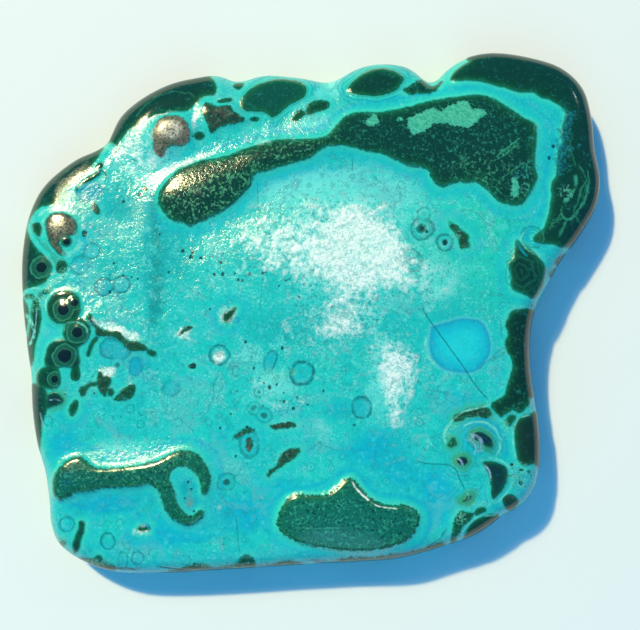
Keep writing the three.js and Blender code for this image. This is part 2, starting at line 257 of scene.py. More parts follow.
window("dark blob with an orb", [
    (-75.5, -12), (-78.5, -12.6), (-80.2, -14.5), (-81, -17.5), (-80.6, -19.5), (-79, -20.5),
    (-76, -19.8), (-73.5, -20), (-71.5, -20.7), (-70.8, -19), (-71.2, -16), (-71.8, -13.5),
    (-73.5, -11.8)], navy=0.3, rise=0.3, fringe=0.8)
window("drop under it", [
    (-72.6, -20.4), (-71, -20.3), (-70.4, -22.3), (-71.2, -24), (-72.6, -23.6), (-73, -22)],
    rise=0.1)
window("lowest blob", [
    (-83.3, -22.5), (-82.5, -21), (-80.5, -20), (-78, -19.9), (-77, -21), (-76.5, -23.5),
    (-76.8, -25.5), (-78.5, -26.3), (-81, -26), (-83, -25)], rise=0.3, fringe=0.8)
window("capped orb", [
    (-80.3, -30), (-79.5, -28.3), (-77.8, -27.8), (-76, -28.5), (-75.3, -30), (-75.8, -31),
    (-77.5, -31.6), (-79.5, -32.3), (-80.5, -32)], navy=0.6, halo=0.6, rise=0.3, fringe=0.5)
window("left rim, middle", [
    (-89.5, 2.6), (-88.3, 1), (-87.2, -1.5), (-86.9, -4), (-87.2, -7), (-88, -10), (-89.2, -11.8),
    (-97, -11), (-97, 2)], navy=0.2, rise=0.1, fringe=0.9)
window("left rim, inner strip", [
    (-85.4, 0.8), (-84.2, 0.8), (-83.4, -2), (-82.8, -5), (-83.2, -8), (-84, -11), (-84.6, -14),
    (-84.9, -17), (-85.4, -19), (-87, -18.5), (-87.6, -14), (-87, -11.8), (-86.3, -9),
    (-85.7, -5), (-85.6, -2)], grain=0.1, rise=0.1, fringe=0.6)
window("left rim, lower", [
    (-84.6, -24.7), (-83.2, -25), (-81.5, -26), (-80.3, -27.5), (-80, -30), (-80.2, -33),
    (-81.2, -35.5), (-81.6, -38), (-81.7, -41), (-82, -44), (-83.3, -46.5), (-95, -48),
    (-95, -25)], grain=0.1, navy=0.1, rise=0.1, fringe=0.5)
window("slanting lens", ring(-71.9, -32.3, 0.9, 2.0, -22), grain=0.3, rise=0.1, fringe=0.9)
window("blot with a tail", [
    (-70.5, -26.8), (-69.5, -26), (-68.3, -25.6), (-66.5, -24.8), (-64.6, -24.7), (-65, -25.6),
    (-67, -25.8), (-68.2, -27), (-69, -28.5), (-69.8, -28.3)], brown=0.2, rise=0.1, fringe=0.5)
window("slanting vein", [
    (-68.7, -4.5), (-67.8, -4.2), (-67, -5.5), (-65.8, -7.5), (-64.5, -8.7), (-62, -9.3),
    (-59.8, -9.2), (-58.3, -9.8), (-57.2, -11.3), (-55.8, -12.3), (-53.2, -12.6), (-51.5, -13.5),
    (-50.2, -14.7), (-51, -15.1), (-53, -15.1), (-55, -15.3), (-56.2, -14.6), (-57.3, -13.5),
    (-58.8, -11.7), (-60.3, -10.8), (-62.5, -10.6), (-64, -10.3), (-65.2, -10.3), (-66, -9.8),
    (-65.8, -8.8), (-67, -7), (-68.5, -5.5)], grain=0.3, brown=0.3, rise=0.5, fringe=0.4)
window("slanting vein, branch", [
    (-65.8, -10.9), (-65.2, -11.5), (-66.3, -12.8), (-67.1, -14.4), (-67.7, -16.4),
    (-68.2, -16.2), (-67.6, -13.6), (-66.8, -12)], rise=0.0, fringe=0.5)
window("slanting vein, tip", ring(-48.7, -15.9, 1.5, 0.9, -25), navy=0.3, rise=0.1)
window("island", [
    (-65, -24.5), (-64.9, -22.5), (-64.3, -21.3), (-63.7, -22), (-63.2, -22.8), (-61.8, -23),
    (-61, -24), (-61.3, -25.5), (-62, -26.5), (-62.3, -27.5), (-62.5, -28.7), (-63.5, -28),
    (-64.5, -26.5)], grain=0.3, brown=0.4, rise=0.3, fringe=0.5)
window("islet", ring(-60.8, -27.7, 0.7, 0.95, 15), brown=0.3, rise=0.1, fringe=0.8)
window("green patch", [
    (-59.5, -29.8), (-58, -28), (-57, -27), (-55.5, -26), (-54, -25.8), (-53.7, -27),
    (-54, -28.5), (-54.8, -29.3), (-56, -29.8), (-58, -30)], grain=0.5, brown=0.1, rise=0.3,
    fringe=0.4)
window("leaf over the front window", [
    (-13.5, -52.5), (-12.5, -51), (-10.3, -49.5), (-9.5, -47.5), (-8, -45.8), (-6, -44.8),
    (-3.8, -44.8), (-4.5, -46.5), (-6.5, -47.8), (-8.5, -49.2), (-10, -50.3), (-11.5, -51.5),
    (-12.8, -53)], grain=0.6, brown=0.4, rise=0.0, fringe=0.5)
window("lens left of the middle", [
    (-27, -5.5), (-26.7, -3.8), (-25, -3.2), (-23.5, -2.2), (-24.5, -4.8), (-25.8, -6.3)],
    grain=0.3, brown=0.2, rise=0.0, fringe=0.9)
window("bar in front of the middle", [
    (-12.7, -38), (-11, -37.6), (-8.5, -37.2), (-6, -36.9), (-4.8, -37.6), (-6, -38.3),
    (-8.5, -38.5), (-11, -38.4)], grain=0.8, brown=0.5, rise=0.0, fringe=0.4)
window("triangle at the front rim", [
    (-23, -78.3), (-21, -76.6), (-19.5, -75.6), (-18, -76.3), (-17, -77.7), (-17.2, -79.5),
    (-20, -79.4), (-22.3, -79.4)], grain=0.3, rise=0.0, fringe=0.5)
window("curl at the front left", [
    (-69, -66), (-67.8, -66), (-67.9, -68.5), (-68.8, -71), (-69.2, -73), (-70.3, -74.6),
    (-70.6, -72.5), (-70, -70), (-69.2, -68)], navy=0.4, rise=0.0, fringe=0.7)
window("blot at the front left", ring(-63.4, -77, 1.3, 1.0, 20, 7), grain=0.2, rise=0.0, fringe=0.8)
window("bit at the front left", ring(-74, -72, 0.9, 0.7), rise=0.0, fringe=0.5)
window("speck near the knuckle", ring(-50, -68, 1.6, 0.6, 10), grain=0.4, rise=0.0, fringe=0.9)
window("wedge right of the middle", [
    (42.4, 25), (44.5, 23.6), (46.5, 21.8), (48.3, 20), (48.2, 18.5), (48.6, 17), (46.2, 16.7),
    (45.5, 19), (44.5, 21), (43, 23)], grain=0.4, brown=0.3, rise=0.1, fringe=0.6)
window("vein by the ear", [
    (-73.4, 35.4), (-72.2, 37.2), (-70.6, 38.6), (-68.4, 39.8), (-66.4, 41.1), (-65.9, 40.3),
    (-68, 38.8), (-70, 37.5), (-72, 35.8), (-72.9, 35)], brown=0.2, rise=0.3, flank=1.2)
window("olive lens by the ear", ring(-67, 29.2, 2.0, 0.8, -65), grain=0.5, brown=0.5, rise=0.2)
window("dark eye over the ear", ring(-66.2, 42.9, 1.0, 0.7, 50), navy=0.4, rise=0.2)
window("streak low on the right wall", ring(76.8, 13.6, 2.4, 0.7, 45), navy=0.2, rise=0.0)
window("streak lower on the right wall", ring(74.2, 9.6, 1.6, 0.5, 55), navy=0.2, rise=0.0)
window("triangle at the left rim", [
    (-86.4, 24.4), (-84.6, 24.6), (-83.8, 22.4), (-84.2, 20.6), (-85.6, 22)], rise=0.1)
window("bit at the left rim", ring(-81.6, 3.2, 1.0, 0.7, 10), navy=0.3, rise=0.1)
window("bit over the left rim strip", ring(-86.6, 2.0, 1.4, 0.6, -10), rise=0.0)
window("crust along the front rim, left", [
    (-45, -80.6), (-40.1, -79.6), (-36, -78.6), (-32.9, -78.1), (-29, -79), (-25.6, -78.7),
    (-23, -77.9), (-21.9, -77.2), (-24, -79.8), (-30, -80.6), (-38, -81.2)], grain=0.8, rise=0.0,
    fringe=0.4)
window("crust along the front rim, right", [
    (-15.5, -78.6), (-11, -77.8), (-6.2, -77.2), (-1.3, -78.1), (4, -77.5), (10, -76.4),
    (17, -76.2), (26.8, -75), (34, -73.5), (38.6, -71.6), (38.8, -72.6), (34.4, -74.6),
    (27, -75.9), (17, -77.2), (10, -77.3), (4, -78.6), (-2, -79.3), (-9, -79.2)], grain=0.8,
    rise=0.0, fringe=0.4)
window("crust round the left front corner", [
    (-77.6, -69), (-76.4, -71), (-74, -73.2), (-70.6, -75.8), (-67.5, -76.4), (-65.1, -76.6),
    (-62, -77.5), (-58.3, -79), (-61, -79.5), (-66, -78.2), (-71.5, -77.2), (-75, -74.6),
    (-77.8, -71.5)], grain=0.8, rise=0.0, fringe=0.4)
window("crust on the pale ring", [
    (-23.8, -41.4), (-22.6, -40.2), (-20.8, -39.2), (-18.6, -38.7), (-17.2, -39.2), (-18.8, -39.8),
    (-20.9, -40.3), (-22.4, -41.3)], grain=0.9, brown=0.5, rise=0.0, fringe=0.3)
window("core of the pale ring", [
    (-19.4, -42.2), (-18.6, -41.4), (-17.9, -42.6), (-18.2, -44.6), (-19, -45), (-19.6, -43.6)],
    grain=0.8, brown=0.6, rise=0.0, fringe=0.4)
window("crust by the deep valley", [
    (-40.6, -10), (-39.4, -8.8), (-37.8, -7.8), (-36.8, -7.9), (-37.9, -9), (-39.2, -9.6),
    (-40, -10.4)], grain=0.9, brown=0.3, leafy=0.6, rise=0.0, fringe=0.3)
window("brown seed left of the middle", ring(-36.2, -19.8, 1.0, 0.5, 10, 7), grain=0.8, brown=0.6,
       rise=0.0, fringe=0.3)

# Pale green patches that fill hollows in the broad table.
inlays = [
    [(30, 57.9), (34, 59.5), (38.4, 61.4), (40, 60.1), (42.5, 61.7), (47.2, 63.7), (49.6, 62.7),
     (50.2, 60.5), (51.9, 61.4), (55, 59.8), (52.7, 58.2), (49.6, 55), (44.5, 55.6),
     (41.1, 56.3), (37.7, 55.6), (35.8, 54), (32.4, 52.4), (30.8, 53.7), (29.9, 55.3)],
    [(16.5, 56.5), (18.3, 58), (19, 59.2), (20.4, 58.8), (21, 57), (20, 55.7), (18, 55.3)],
    [(26.8, 57.6), (28, 58.2), (28.6, 57.4), (27.4, 56.8)],
    [(62.3, 38.6), (63.6, 39), (64.2, 36), (63.8, 33), (62.6, 32.2), (62, 35)]]

# A pool of glassy azure silicate, out on the right.
pools = [
    [(36.5, -8), (40, -7), (45, -5.5), (50, -5.5), (52.5, -7), (54.3, -11), (54.3, -15),
     (52.5, -19), (48, -22), (42, -21.5), (38, -19.5), (36, -16), (35.8, -12)]]

# ---------------------------------------------------------------------------------------------
# The discs and orbs. Round growths, cut through by the polish: some are dark beads with a light
# green skin inside the malachite, most are faint turquoise rings in the chrysocolla round them.

discs = []


def disc(x, y, across, along=None, turn=0.0, **look):
    """One growth: line is a dark outline, core a dark middle, skin a light green band just
    inside the outline, azure a blue filling, rings a set of fine rings, dome its height in mm."""
    kind = dict(line=0.0, core=0.0, skin=0.0, azure=0.0, rings=0.0, dome=0.0)
    kind.update(look)
    discs.append({"x": x, "y": y, "across": across, "along": along or across,
                  "turn": turn, **kind})


def orb(x, y, radius):
    disc(x, y, radius, core=1.0, skin=1.0, dome=0.3)


orb(-76.2, -2.5, 3.2)
orb(-72.8, -0.3, 2.2)
orb(-71.5, -9.7, 3.2)
orb(-75.2, -16.8, 3.4)
orb(-83.3, 11, 3.2)
orb(-78, -23.8, 2.2)
orb(-75.8, 18.8, 2.0)
disc(64.6, 9.4, 5.4, 7.0, 10, core=0.3, rings=1.0)
disc(50.5, -44.5, 5.5, 5.0, rings=0.4)
disc(68.1, 20.1, 3.6, skin=0.8, rings=0.8, line=0.5)
disc(-83.3, 2.2, 2.4, core=0.6, rings=0.4)
disc(-69, 34.6, 4.4, 3.2, 15, azure=0.6, rings=0.7, line=0.3)
disc(-67.9, 15.8, 2.6, line=0.6, azure=0.2)
disc(-71.3, 11.3, 3.1, line=0.5, skin=0.4, azure=0.3)
disc(-63.8, 4.7, 2.9, line=0.8, azure=0.4, core=0.15, dome=0.1)
disc(-58.4, 5.2, 2.8, line=0.8, azure=0.3, dome=0.1)
disc(2.8, 27.3, 2.6, line=0.3)
disc(34, 22.6, 3.7, line=0.7, core=0.8, rings=0.6, dome=0.1)
disc(34.7, 27.3, 2.1, line=0.6, core=0.2)
disc(41.1, 18.2, 2.7, line=0.8, core=0.9, rings=0.3)
disc(30.5, 12.5, 3.8, line=0.5, rings=0.7, core=0.2)
disc(-28.3, -16.5, 3.1, line=0.9, core=0.5, skin=0.3, dome=-0.1)
disc(-23, -21.3, 1.2, 1.8, line=0.6)
disc(-42.5, -26.5, 2.7, line=0.3, azure=0.3)
disc(-41.5, -5.5, 1.5, line=0.3)
disc(-23.3, -6, 1.6, 1.1, line=0.3, azure=0.6)
disc(-12.6, -18.4, 1.8, 3.6, -18, line=0.6, azure=0.4)
disc(-2.8, -22, 3.6, line=1.0, azure=0.15, dome=0.15)
disc(15.2, -32.3, 3.0, 3.4, line=0.8, azure=0.3, rings=0.3)
disc(-25.5, -54.4, 2.7, line=0.5, core=0.8, rings=0.5)
disc(-61.5, -14.5, 3.2, line=0.6, azure=0.4, rings=0.6)
disc(-58.6, -15.2, 3.2, line=0.5, azure=0.4, rings=0.4)
disc(-59, -19.5, 2.3, line=0.4, core=0.6)
disc(-53.5, -20, 2.2, 3.0, line=0.3, azure=0.8)
disc(-54.8, -32.6, 1.3, line=0.6, core=0.3)
disc(-51.5, -37.2, 1.3, line=0.5, core=0.2)
disc(-65.8, -28, 0.8, 1.3, 20, line=0.4, core=0.7)
disc(-79.5, -36, 1.4, line=0.6)
disc(-80.4, -34, 0.7, core=0.8)
disc(-72.8, -66.5, 2.3, line=0.6, azure=0.2)
disc(-60.5, -71.5, 2.3, line=0.8, rings=0.4)
disc(-56, -77, 1.6, 2.3, line=0.5)
disc(-51.5, -76.5, 1.9, line=0.6, azure=0.2)
disc(-47, -75, 1.4, line=0.4)
disc(-37.2, -77, 1.5, line=0.4)
disc(-42, -73, 1.0, line=0.3)
disc(-37, -54.5, 1.2, core=0.9, line=0.2)
disc(-36, -56.6, 0.9, core=0.8)
disc(-37.8, -59.3, 0.8, core=0.7)
disc(-34.6, -57.5, 0.7, core=0.6)
disc(-14.5, -34.6, 2.4, line=0.5, core=0.7)
disc(-17.6, -32.4, 2.0, line=0.4, core=0.5)
disc(-18.9, -43.2, 3.0, 4.4, 8, line=0.6, azure=0.2)
disc(-5.5, -32.6, 1.3, core=0.6)
disc(-16, -27.6, 1.6, line=0.5, core=0.6)
disc(-22.5, -27.5, 1.0, core=0.6)
disc(-15.8, -23.6, 1.0, 0.7, 30, core=0.8)
disc(-12.9, -21.3, 1.4, 1.0, line=0.6, core=0.3)
disc(12.8, -37.6, 1.6, 1.1, core=0.7)
disc(67.2, -1, 1.0, core=0.8, line=0.3)
disc(64.2, -0.9, 0.6, core=0.6)
disc(69.8, 42, 1.0, line=0.5)
disc(60, -49.3, 1.2, core=1.0)
disc(62.8, -50.8, 1.6, 0.9, core=1.0)
disc(65, -51.3, 1.2, core=0.9)
disc(62.5, -54.5, 1.4, core=1.0)
disc(60.3, -52.2, 1.0, core=0.8)
disc(3.9, 69.2, 0.9, line=0.2)


def reach_of(places, made):
    """How far out from a growth's middle each place lies, as a share of its radius."""
    c, s = math.cos(math.radians(made["turn"])), math.sin(math.radians(made["turn"]))
    off = places - (made["x"], made["y"])
    along_x = (off[:, 0] * c + off[:, 1] * s) / made["across"]
    along_y = (off[:, 1] * c - off[:, 0] * s) / made["along"]
    return np.hypot(along_x, along_y)


# ---------------------------------------------------------------------------------------------
# The pits, cracks and thin veins. Pits are pinholes where grains plucked out of the soft
# ground; the cracks are hairlines healed with silica; the veins are light green malachite skins.

# Each pit: its place and its radius in mm.
pits = [
    (-14.5, -25, 0.5), (-12.8, -26.2, 0.7), (-10.6, -25.4, 0.5), (-17.5, -20.5, 0.5),
    (-20.2, -12.6, 0.6), (-8.4, -30.6, 0.6), (-4.4, -29.2, 0.5), (-1.2, -31.5, 0.5),
    (-14.8, -31.8, 0.4), (-24.5, -34.2, 0.5), (-27.6, -38.4, 0.5), (-22.8, -46.8, 0.5),
    (3.5, -27.4, 0.5), (6.8, -24.6, 0.4), (-31.2, -2.4, 0.5), (-34.8, 2.4, 0.4),
    (-39.8, 15.7, 0.7), (-36.8, 15.3, 0.6), (-37.2, 13.8, 0.8), (-34.2, 13.4, 0.6),
    (-30.8, 14, 0.5), (-38.8, 12.4, 0.5), (-28.1, 12, 0.6), (-30, 8.3, 0.6), (-27.4, 8.4, 0.7),
    (-28, 10.2, 0.5), (-23.7, 8.5, 0.5), (-22.6, 6.5, 0.6), (-21.4, 6.4, 0.5), (-19.2, 8.3, 0.6),
    (-15.2, 8.7, 0.6), (-14.1, 8.9, 0.5), (-10, 4.5, 0.5), (-8, 6.3, 0.5), (-6.8, 6.7, 0.5),
    (-3.8, 1.1, 0.5), (-2.5, 5, 0.5), (-61, 12, 0.5), (-62, 8.2, 0.5), (-58, 8, 0.5),
    (-55.3, 7.5, 0.5), (-53.5, 7, 0.5), (34, 22.6, 0.8), (35.6, 21.7, 0.6), (41.1, 18.2, 0.8),
    (75.4, 49.2, 0.6), (74, 45.4, 0.6), (-52, 35.5, 0.8), (-53.5, 33.7, 0.7), (-58.5, 31.5, 0.6),
    (-62, 3, 0.5), (-70.3, 21.3, 1.0), (-35, -63, 0.5), (-36, -64.6, 0.5), (-8.5, -28, 0.5),
    (-19.5, -38.2, 0.6), (-5.5, -32.6, 0.6), (-9, -14.5, 0.6), (6, 3, 0.4), (14, 8, 0.4),
    (9, -8, 0.4), (-47, 21, 0.5), (-44, 9, 0.5), (20, -6, 0.4), (-36, -19.7, 0.9),
    (52.5, -35.3, 0.5), (62.3, 36.9, 0.4), (-18.2, 57.8, 0.6)]

# Each crack and each vein: the points it runs through, and how strong it is.
cracks = [
    ([(33.2, -0.5), (35, -4.5), (38, -8.8), (41, -13), (43.5, -16.5), (46, -20), (48.5, -24),
      (51.5, -28), (54, -30.5)], 1.0),
    ([(53, -19), (55.5, -16.5), (58.5, -14.2), (59.7, -15.7)], 0.5),
    ([(50.5, -21.5), (52, -19.5), (56, -17.5), (59, -15.5)], 0.5),
    ([(57.7, -5), (57.9, -11)], 0.5),
    ([(31, -48), (35, -49), (40, -49.2), (43, -50.5), (44.3, -53.5), (46, -57)], 0.9),
    ([(-17, 38), (-16.7, 29.6), (-17, 14)], 0.5),
    ([(-16.2, 28.3), (-10, 28.9), (2.5, 29.5)], 0.4),
    ([(-15, 9.5), (-15.8, -3)], 0.35),
    ([(-29, 22.3), (-24.6, 18.9), (-22.3, 17.3), (-20, 18.9)], 0.5),
    ([(12.6, 45.5), (12.6, 41)], 0.7),
    ([(-63.8, 44.7), (-60, 48.8)], 0.8),
    ([(-22.5, -64), (-22, -70), (-21.3, -75)], 0.6),
    ([(-10.2, -15.2), (-10.8, -18.5), (-12, -20.8), (-13.5, -21.7)], 0.6),
    ([(-52.5, -33.2), (-51.6, -34.6), (-50.8, -34.2)], 0.8),
    ([(-38.8, -7.2), (-38.2, -9), (-38.8, -10.4)], 0.8),
    ([(-79.5, -63), (-77, -70), (-73, -74.5)], 0.9),
    ([(-46, -78.6), (-38, -79.4), (-30, -79.4), (-22, -79)], 1.2),
    ([(0, -77), (8, -77.6), (15, -77.8), (24, -76.5), (32, -75.3), (38, -73)], 1.4),
    ([(-64, 27), (-61, 29.5), (-59.6, 33)], 0.5),
    ([(-20, -40), (-17, -42), (-16.4, -46)], 0.4),
    ([(20, -2), (26, -4), (29, -9)], 0.3)]

veins = [
    ([(81.8, 52.9), (80.8, 50), (81, 46.6), (82.2, 42.5)], 0.5),
    ([(80.9, 27.1), (82.4, 31.1), (84, 35.1), (84.9, 38.5)], 0.8),
    ([(73.3, 22.3), (75, 24.9), (77.3, 26.6)], 0.7),
    ([(-84.6, 8.5), (-82, 8.2), (-80.3, 10.3)], 0.6),
    ([(-88.5, 28), (-87, 25), (-86, 22), (-84.5, 19), (-82.5, 17), (-80.5, 15), (-79, 12),
      (-78.4, 10)], 1.0),
    ([(-82.5, 19.5), (-81, 16.5), (-78.5, 14), (-76, 12.7)], 0.9),
    ([(77.7, 27.3), (79.4, 26), (81.9, 27.6), (84.1, 30.1), (85.4, 33.6), (86, 37.3), (85.8, 42)],
     1.0),
    ([(79.3, 25.5), (77.5, 23), (76, 20.4)], 1.0),
    ([(77.4, 27.7), (75.3, 25.2), (73.6, 23.3)], 0.8),
    ([(81.5, 26.5), (83.5, 24.5), (84.5, 22.5)], 0.7),
    ([(-86, 0), (-85.9, -4), (-86.4, -8), (-87.5, -11.5)], 1.0),
    ([(-55.5, 58.6), (-52.1, 63.1), (-47.8, 65.9), (-43.4, 67), (-38.9, 66.3), (-36.7, 64.5)],
     0.5),
    ([(43.5, -35.6), (46, -34.8), (48.5, -34.4)], 0.5),
    ([(49, -45), (51, -44.6), (53, -45.2), (54.5, -46.8)], 0.7),
    ([(47.2, -57.5), (48.2, -58.9), (47.8, -60.4)], 0.7),
    ([(61.8, -50.2), (61.2, -53.2), (60.2, -56.5)], 0.6),
    ([(59.5, -55.5), (61.5, -53), (64, -52.6)], 0.6),
    ([(-87, -14.5), (-86.3, -18), (-86, -23)], 0.7)]


threads = {"azure": [], "dark": [], "jade": [], "pale": [], "lilac_sky_reflection": [], "painted_glint": []}
THREAD_EDGE = 0.35  # the share of its unit of width at which a thread's colour has half gone


def thread(colour, half_width, strength, *route):
    """A thin band of one colour; its half width is in mm."""
    threads[colour].append((list(route), strength, half_width / THREAD_EDGE))


thread("azure", 0.5, 0.8, (43.6, -40.1), (45.7, -37.8), (49.7, -36), (54.2, -36.6), (57.4, -39.8),
       (58.6, -44.1), (57.6, -48.2))
thread("azure", 0.4, 0.7, (46.2, -38.9), (48.6, -37.8), (51.4, -37.9), (54.2, -39.5), (55.4, -43),
       (54, -46.3))
thread("azure", 0.5, 0.7, (67.5, 23.2), (66.3, 20.9), (67.1, 18.7), (69.8, 17.6), (73.1, 17.3))
thread("azure", 0.4, 0.6, (64.2, 24.4), (63.2, 20.5), (64, 16.8), (66.6, 13.8))
thread("azure", 0.6, 0.5, (-44, 45.5), (-32, 48.4), (-22, 50.6), (-10, 54), (2, 55), (9, 60.5),
       (18, 63.2), (34, 65.6), (46, 68.2), (56, 68.3), (66, 63.4), (74, 58.5), (75.5, 50),
       (72.5, 40), (72.3, 30), (66, 25.6), (58, 26.8), (50, 32.8))
thread("azure", 0.4, 0.6, (-72.1, 34.2), (-70.4, 35.6), (-66.8, 36.1), (-64.4, 34.9))
thread("azure", 0.5, 0.6, (-66.4, 47.2), (-63.7, 46.3), (-62.2, 43.6))
thread("azure", 0.8, 0.6, (-80, -58), (-66, -62.4), (-54, -62.4), (-48.6, -66.6), (-42, -70.6),
       (-34, -71.2), (-26, -68.6), (-14, -66))
thread("azure", 0.6, 0.5, (-82, -52), (-79, -45.4), (-70, -43), (-55, -46.4), (-44, -43.2),
       (-36, -41.6), (-28.6, -45.6), (-26.6, -54), (-29, -62))
thread("azure", 0.6, 0.6, (-13, -62), (-8, -57.2), (0, -55.8), (8, -52.4), (13, -51), (19, -57.4),
       (30, -59), (35, -63), (33.6, -71), (24, -76))
thread("dark", 0.35, 0.8, (-67.2, 40.1), (-65.2, 41.3), (-63.3, 38.2))
thread("dark", 0.4, 0.7, (-45.8, 27.2), (-42.9, 25), (-40.4, 24.7), (-37.6, 23.5), (-35.8, 24.4),
       (-31.5, 26.2), (-28.2, 27.8), (-25.2, 30), (-22.4, 32.6), (-19.5, 36), (-17.7, 39.4))
thread("dark", 0.3, 0.7, (23.9, 45.4), (26.7, 44.2), (30, 42.6), (33.8, 42), (36.3, 41), (38, 37.3),
       (40, 36), (42.3, 36.4), (45.4, 37.3), (49.2, 37.2), (51.4, 37.2), (55.2, 34.1), (57.5, 31.6))
thread("dark", 0.25, 0.6, (-71, -26.6), (-68, -24.9), (-64, -20.5), (-61, -23))
thread("dark", 0.3, 0.5, (-2, -76.6), (10, -77.4), (20, -76.6), (30, -74.8), (38, -70.6), (41, -66))
thread("dark", 1.5, 0.32, (-48.4, 36), (-48.8, 30), (-48, 20), (-47.4, 10), (-47.8, 0), (-48.6, -8))
thread("dark", 0.3, 0.8, (-77, -67), (-75.6, -71), (-72, -75), (-66, -77.8), (-58, -79),
       (-50, -79.2))
thread("jade", 0.6, 0.6, (78, 31.1), (80.3, 32.8), (82.1, 36.8), (81.9, 40.2))
thread("jade", 0.35, 0.5, (77.9, 30.5), (77.4, 27.6), (79.3, 25.9), (81.6, 26.9), (83.4, 29.8),
       (85, 33), (85.6, 36.8), (84.6, 40.4), (83, 43.6))
thread("jade", 0.4, 0.7, (-78.5, -26), (-77.4, -27.4), (-76.5, -28))
thread("jade", 0.2, 0.8, (57.1, 45.1), (60.6, 48.3), (65.4, 51.8))
thread("jade", 0.15, 0.8, (57.7, 44.3), (62.8, 48.3), (64.5, 49.5))
thread("jade", 0.2, 0.8, (58.1, 38), (62.1, 40.8), (66.3, 43.7))
thread("jade", 0.15, 0.7, (-5, -68), (3, -68.1), (11, -68))
thread("jade", 0.2, 0.6, (67.2, 33.5), (67.6, 37), (66.8, 41), (67.8, 45.5))
thread("jade", 0.2, 0.6, (52, 38.6), (57, 35.6), (60, 33), (64, 33.2))
thread("jade", 0.2, 0.5, (48, 41), (54, 40.4), (59, 36.6))
thread("jade", 0.3, 0.7, (43.4, -42.2), (45.2, -38.8), (48.4, -37.6))
thread("pale", 0.5, 0.8, (-84.5, 26.5), (-83.3, 28.6), (-80.4, 29.3), (-77.9, 28.1))
thread("pale", 0.7, 0.9, (-77.2, 15.7), (-74.8, 14.8), (-72.2, 16.6), (-71.4, 19.7))
thread("pale", 0.5, 0.7, (-72.8, 35.5), (-70.4, 37), (-66.9, 37.6), (-63.2, 36.1))
thread("pale", 0.35, 0.7, (-88, 3.5), (-85.4, 4.4), (-82.4, 4.1), (-79.5, 6.2), (-77.2, 8.2),
       (-74.3, 8.8))
thread("pale", 0.3, 0.8, (-80.5, -4.9), (-81.6, -0.8), (-80.1, 2.5), (-76.1, 4.2), (-72.1, 3.9),
       (-69.3, 1.2), (-68.6, -1.5))
thread("pale", 0.3, 0.7, (-75.7, -9.6), (-74.8, -6.9), (-71.8, -6.5), (-69.1, -7.9), (-68.3, -10.2))
thread("pale", 0.5, 0.9, (-87.9, -2.9), (-85.8, -6.2), (-84.6, -8.9), (-85.2, -11.6), (-86.2, -13))
thread("pale", 0.3, 0.8, (42.7, -35.6), (45.7, -33.6), (49.3, -32.6), (52.3, -31.9), (54.1, -31.3))
thread("pale", 0.4, 0.7, (40.6, -43.3), (39.8, -40.6), (41.1, -38.1), (42.7, -35.9))
thread("pale", 0.35, 0.7, (45.1, -38.6), (47.7, -37.1), (51.2, -36.8), (54.7, -38.2), (56.4, -41.5),
       (56.4, -44.6), (55, -47.2))
thread("pale", 0.35, 0.6, (61.5, -47.5), (60.6, -44.1), (61, -38.6), (62.8, -35.3), (66.3, -34.3))
thread("pale", 0.3, 0.6, (44.3, -70), (45.6, -67.6), (49.1, -64.7), (54.1, -63.7), (56.1, -62.3))
thread("pale", 0.3, 0.6, (53, -47.6), (57.2, -48.4), (60, -51.4), (59.9, -55.4), (55.4, -60.4))
thread("pale", 0.5, 0.8, (34.8, -11), (34.6, -14.5), (35.6, -17.6), (38, -20.6))
thread("pale", 0.35, 0.6, (65.5, 22), (64.6, 19.8), (65.3, 17.4), (68.1, 15.2), (71.9, 14.6))
thread("pale", 0.3, 0.6, (-65.8, 50.2), (-63.4, 48.4), (-61.2, 45.2))
thread("pale", 0.3, 0.6, (-63.5, 51), (-61.4, 49.2), (-59.2, 46.8))
# Painted reflection: lilac streaks of sky reflected on the glossy flanks of the dark nodules.
thread("lilac_sky_reflection", 0.55, 0.8, (47.6, -40.4), (50.1, -41.3), (51.1, -43.1), (51.3, -45.9))
thread("lilac_sky_reflection", 0.3, 0.7, (46.2, -42), (48.2, -42.4), (49.4, -44.4), (48.8, -46.4))
thread("lilac_sky_reflection", 0.3, 0.9, (51.7, -49.3), (52.9, -50.5), (53.7, -52.5), (53.6, -54.2))
thread("lilac_sky_reflection", 0.3, 0.8, (43.6, -47.4), (44.8, -48.2), (45.4, -49.6))
thread("lilac_sky_reflection", 0.25, 0.8, (-79.3, -30.1), (-77.6, -29.7), (-75.6, -30.4))
thread("lilac_sky_reflection", 0.25, 0.6, (-82.1, -33.3), (-81.3, -36.6), (-81.6, -39.2))
thread("lilac_sky_reflection", 0.2, 0.6, (-84.2, -2.2), (-84.4, -6.9), (-84.8, -10.9))
thread("lilac_sky_reflection", 0.3, 0.8, (46.2, -59.8), (47, -58.8), (46.6, -57.6))
# Painted highlight: a bright glint along the upper right edge of the front window.
thread("painted_glint", 0.35, 1.0, (12.1, -54.4), (13.6, -56.7), (15.2, -58.5), (17.2, -60.2))
thread("painted_glint", 0.2, 0.9, (17.6, -60.4), (19.5, -61.6), (22, -62.1), (25.5, -62.4))


def along(route):
    """A route's own points with a smooth curve run through them."""
    knots = np.array([route[0], *route, route[-1]], float)
    run = []
    for a, b, c, d in zip(knots, knots[1:], knots[2:], knots[3:]):
        steps = max(2, int(np.hypot(*(c - b)) / 0.5))
        for t in np.arange(steps) / steps:
            run.append(0.5 * (2 * b + (c - a) * t + (2 * a - 5 * b + 4 * c - d) * t ** 2
                              + (3 * b - a - 3 * c + d) * t ** 3))
    run.append(knots[-2])
    return np.array(run)


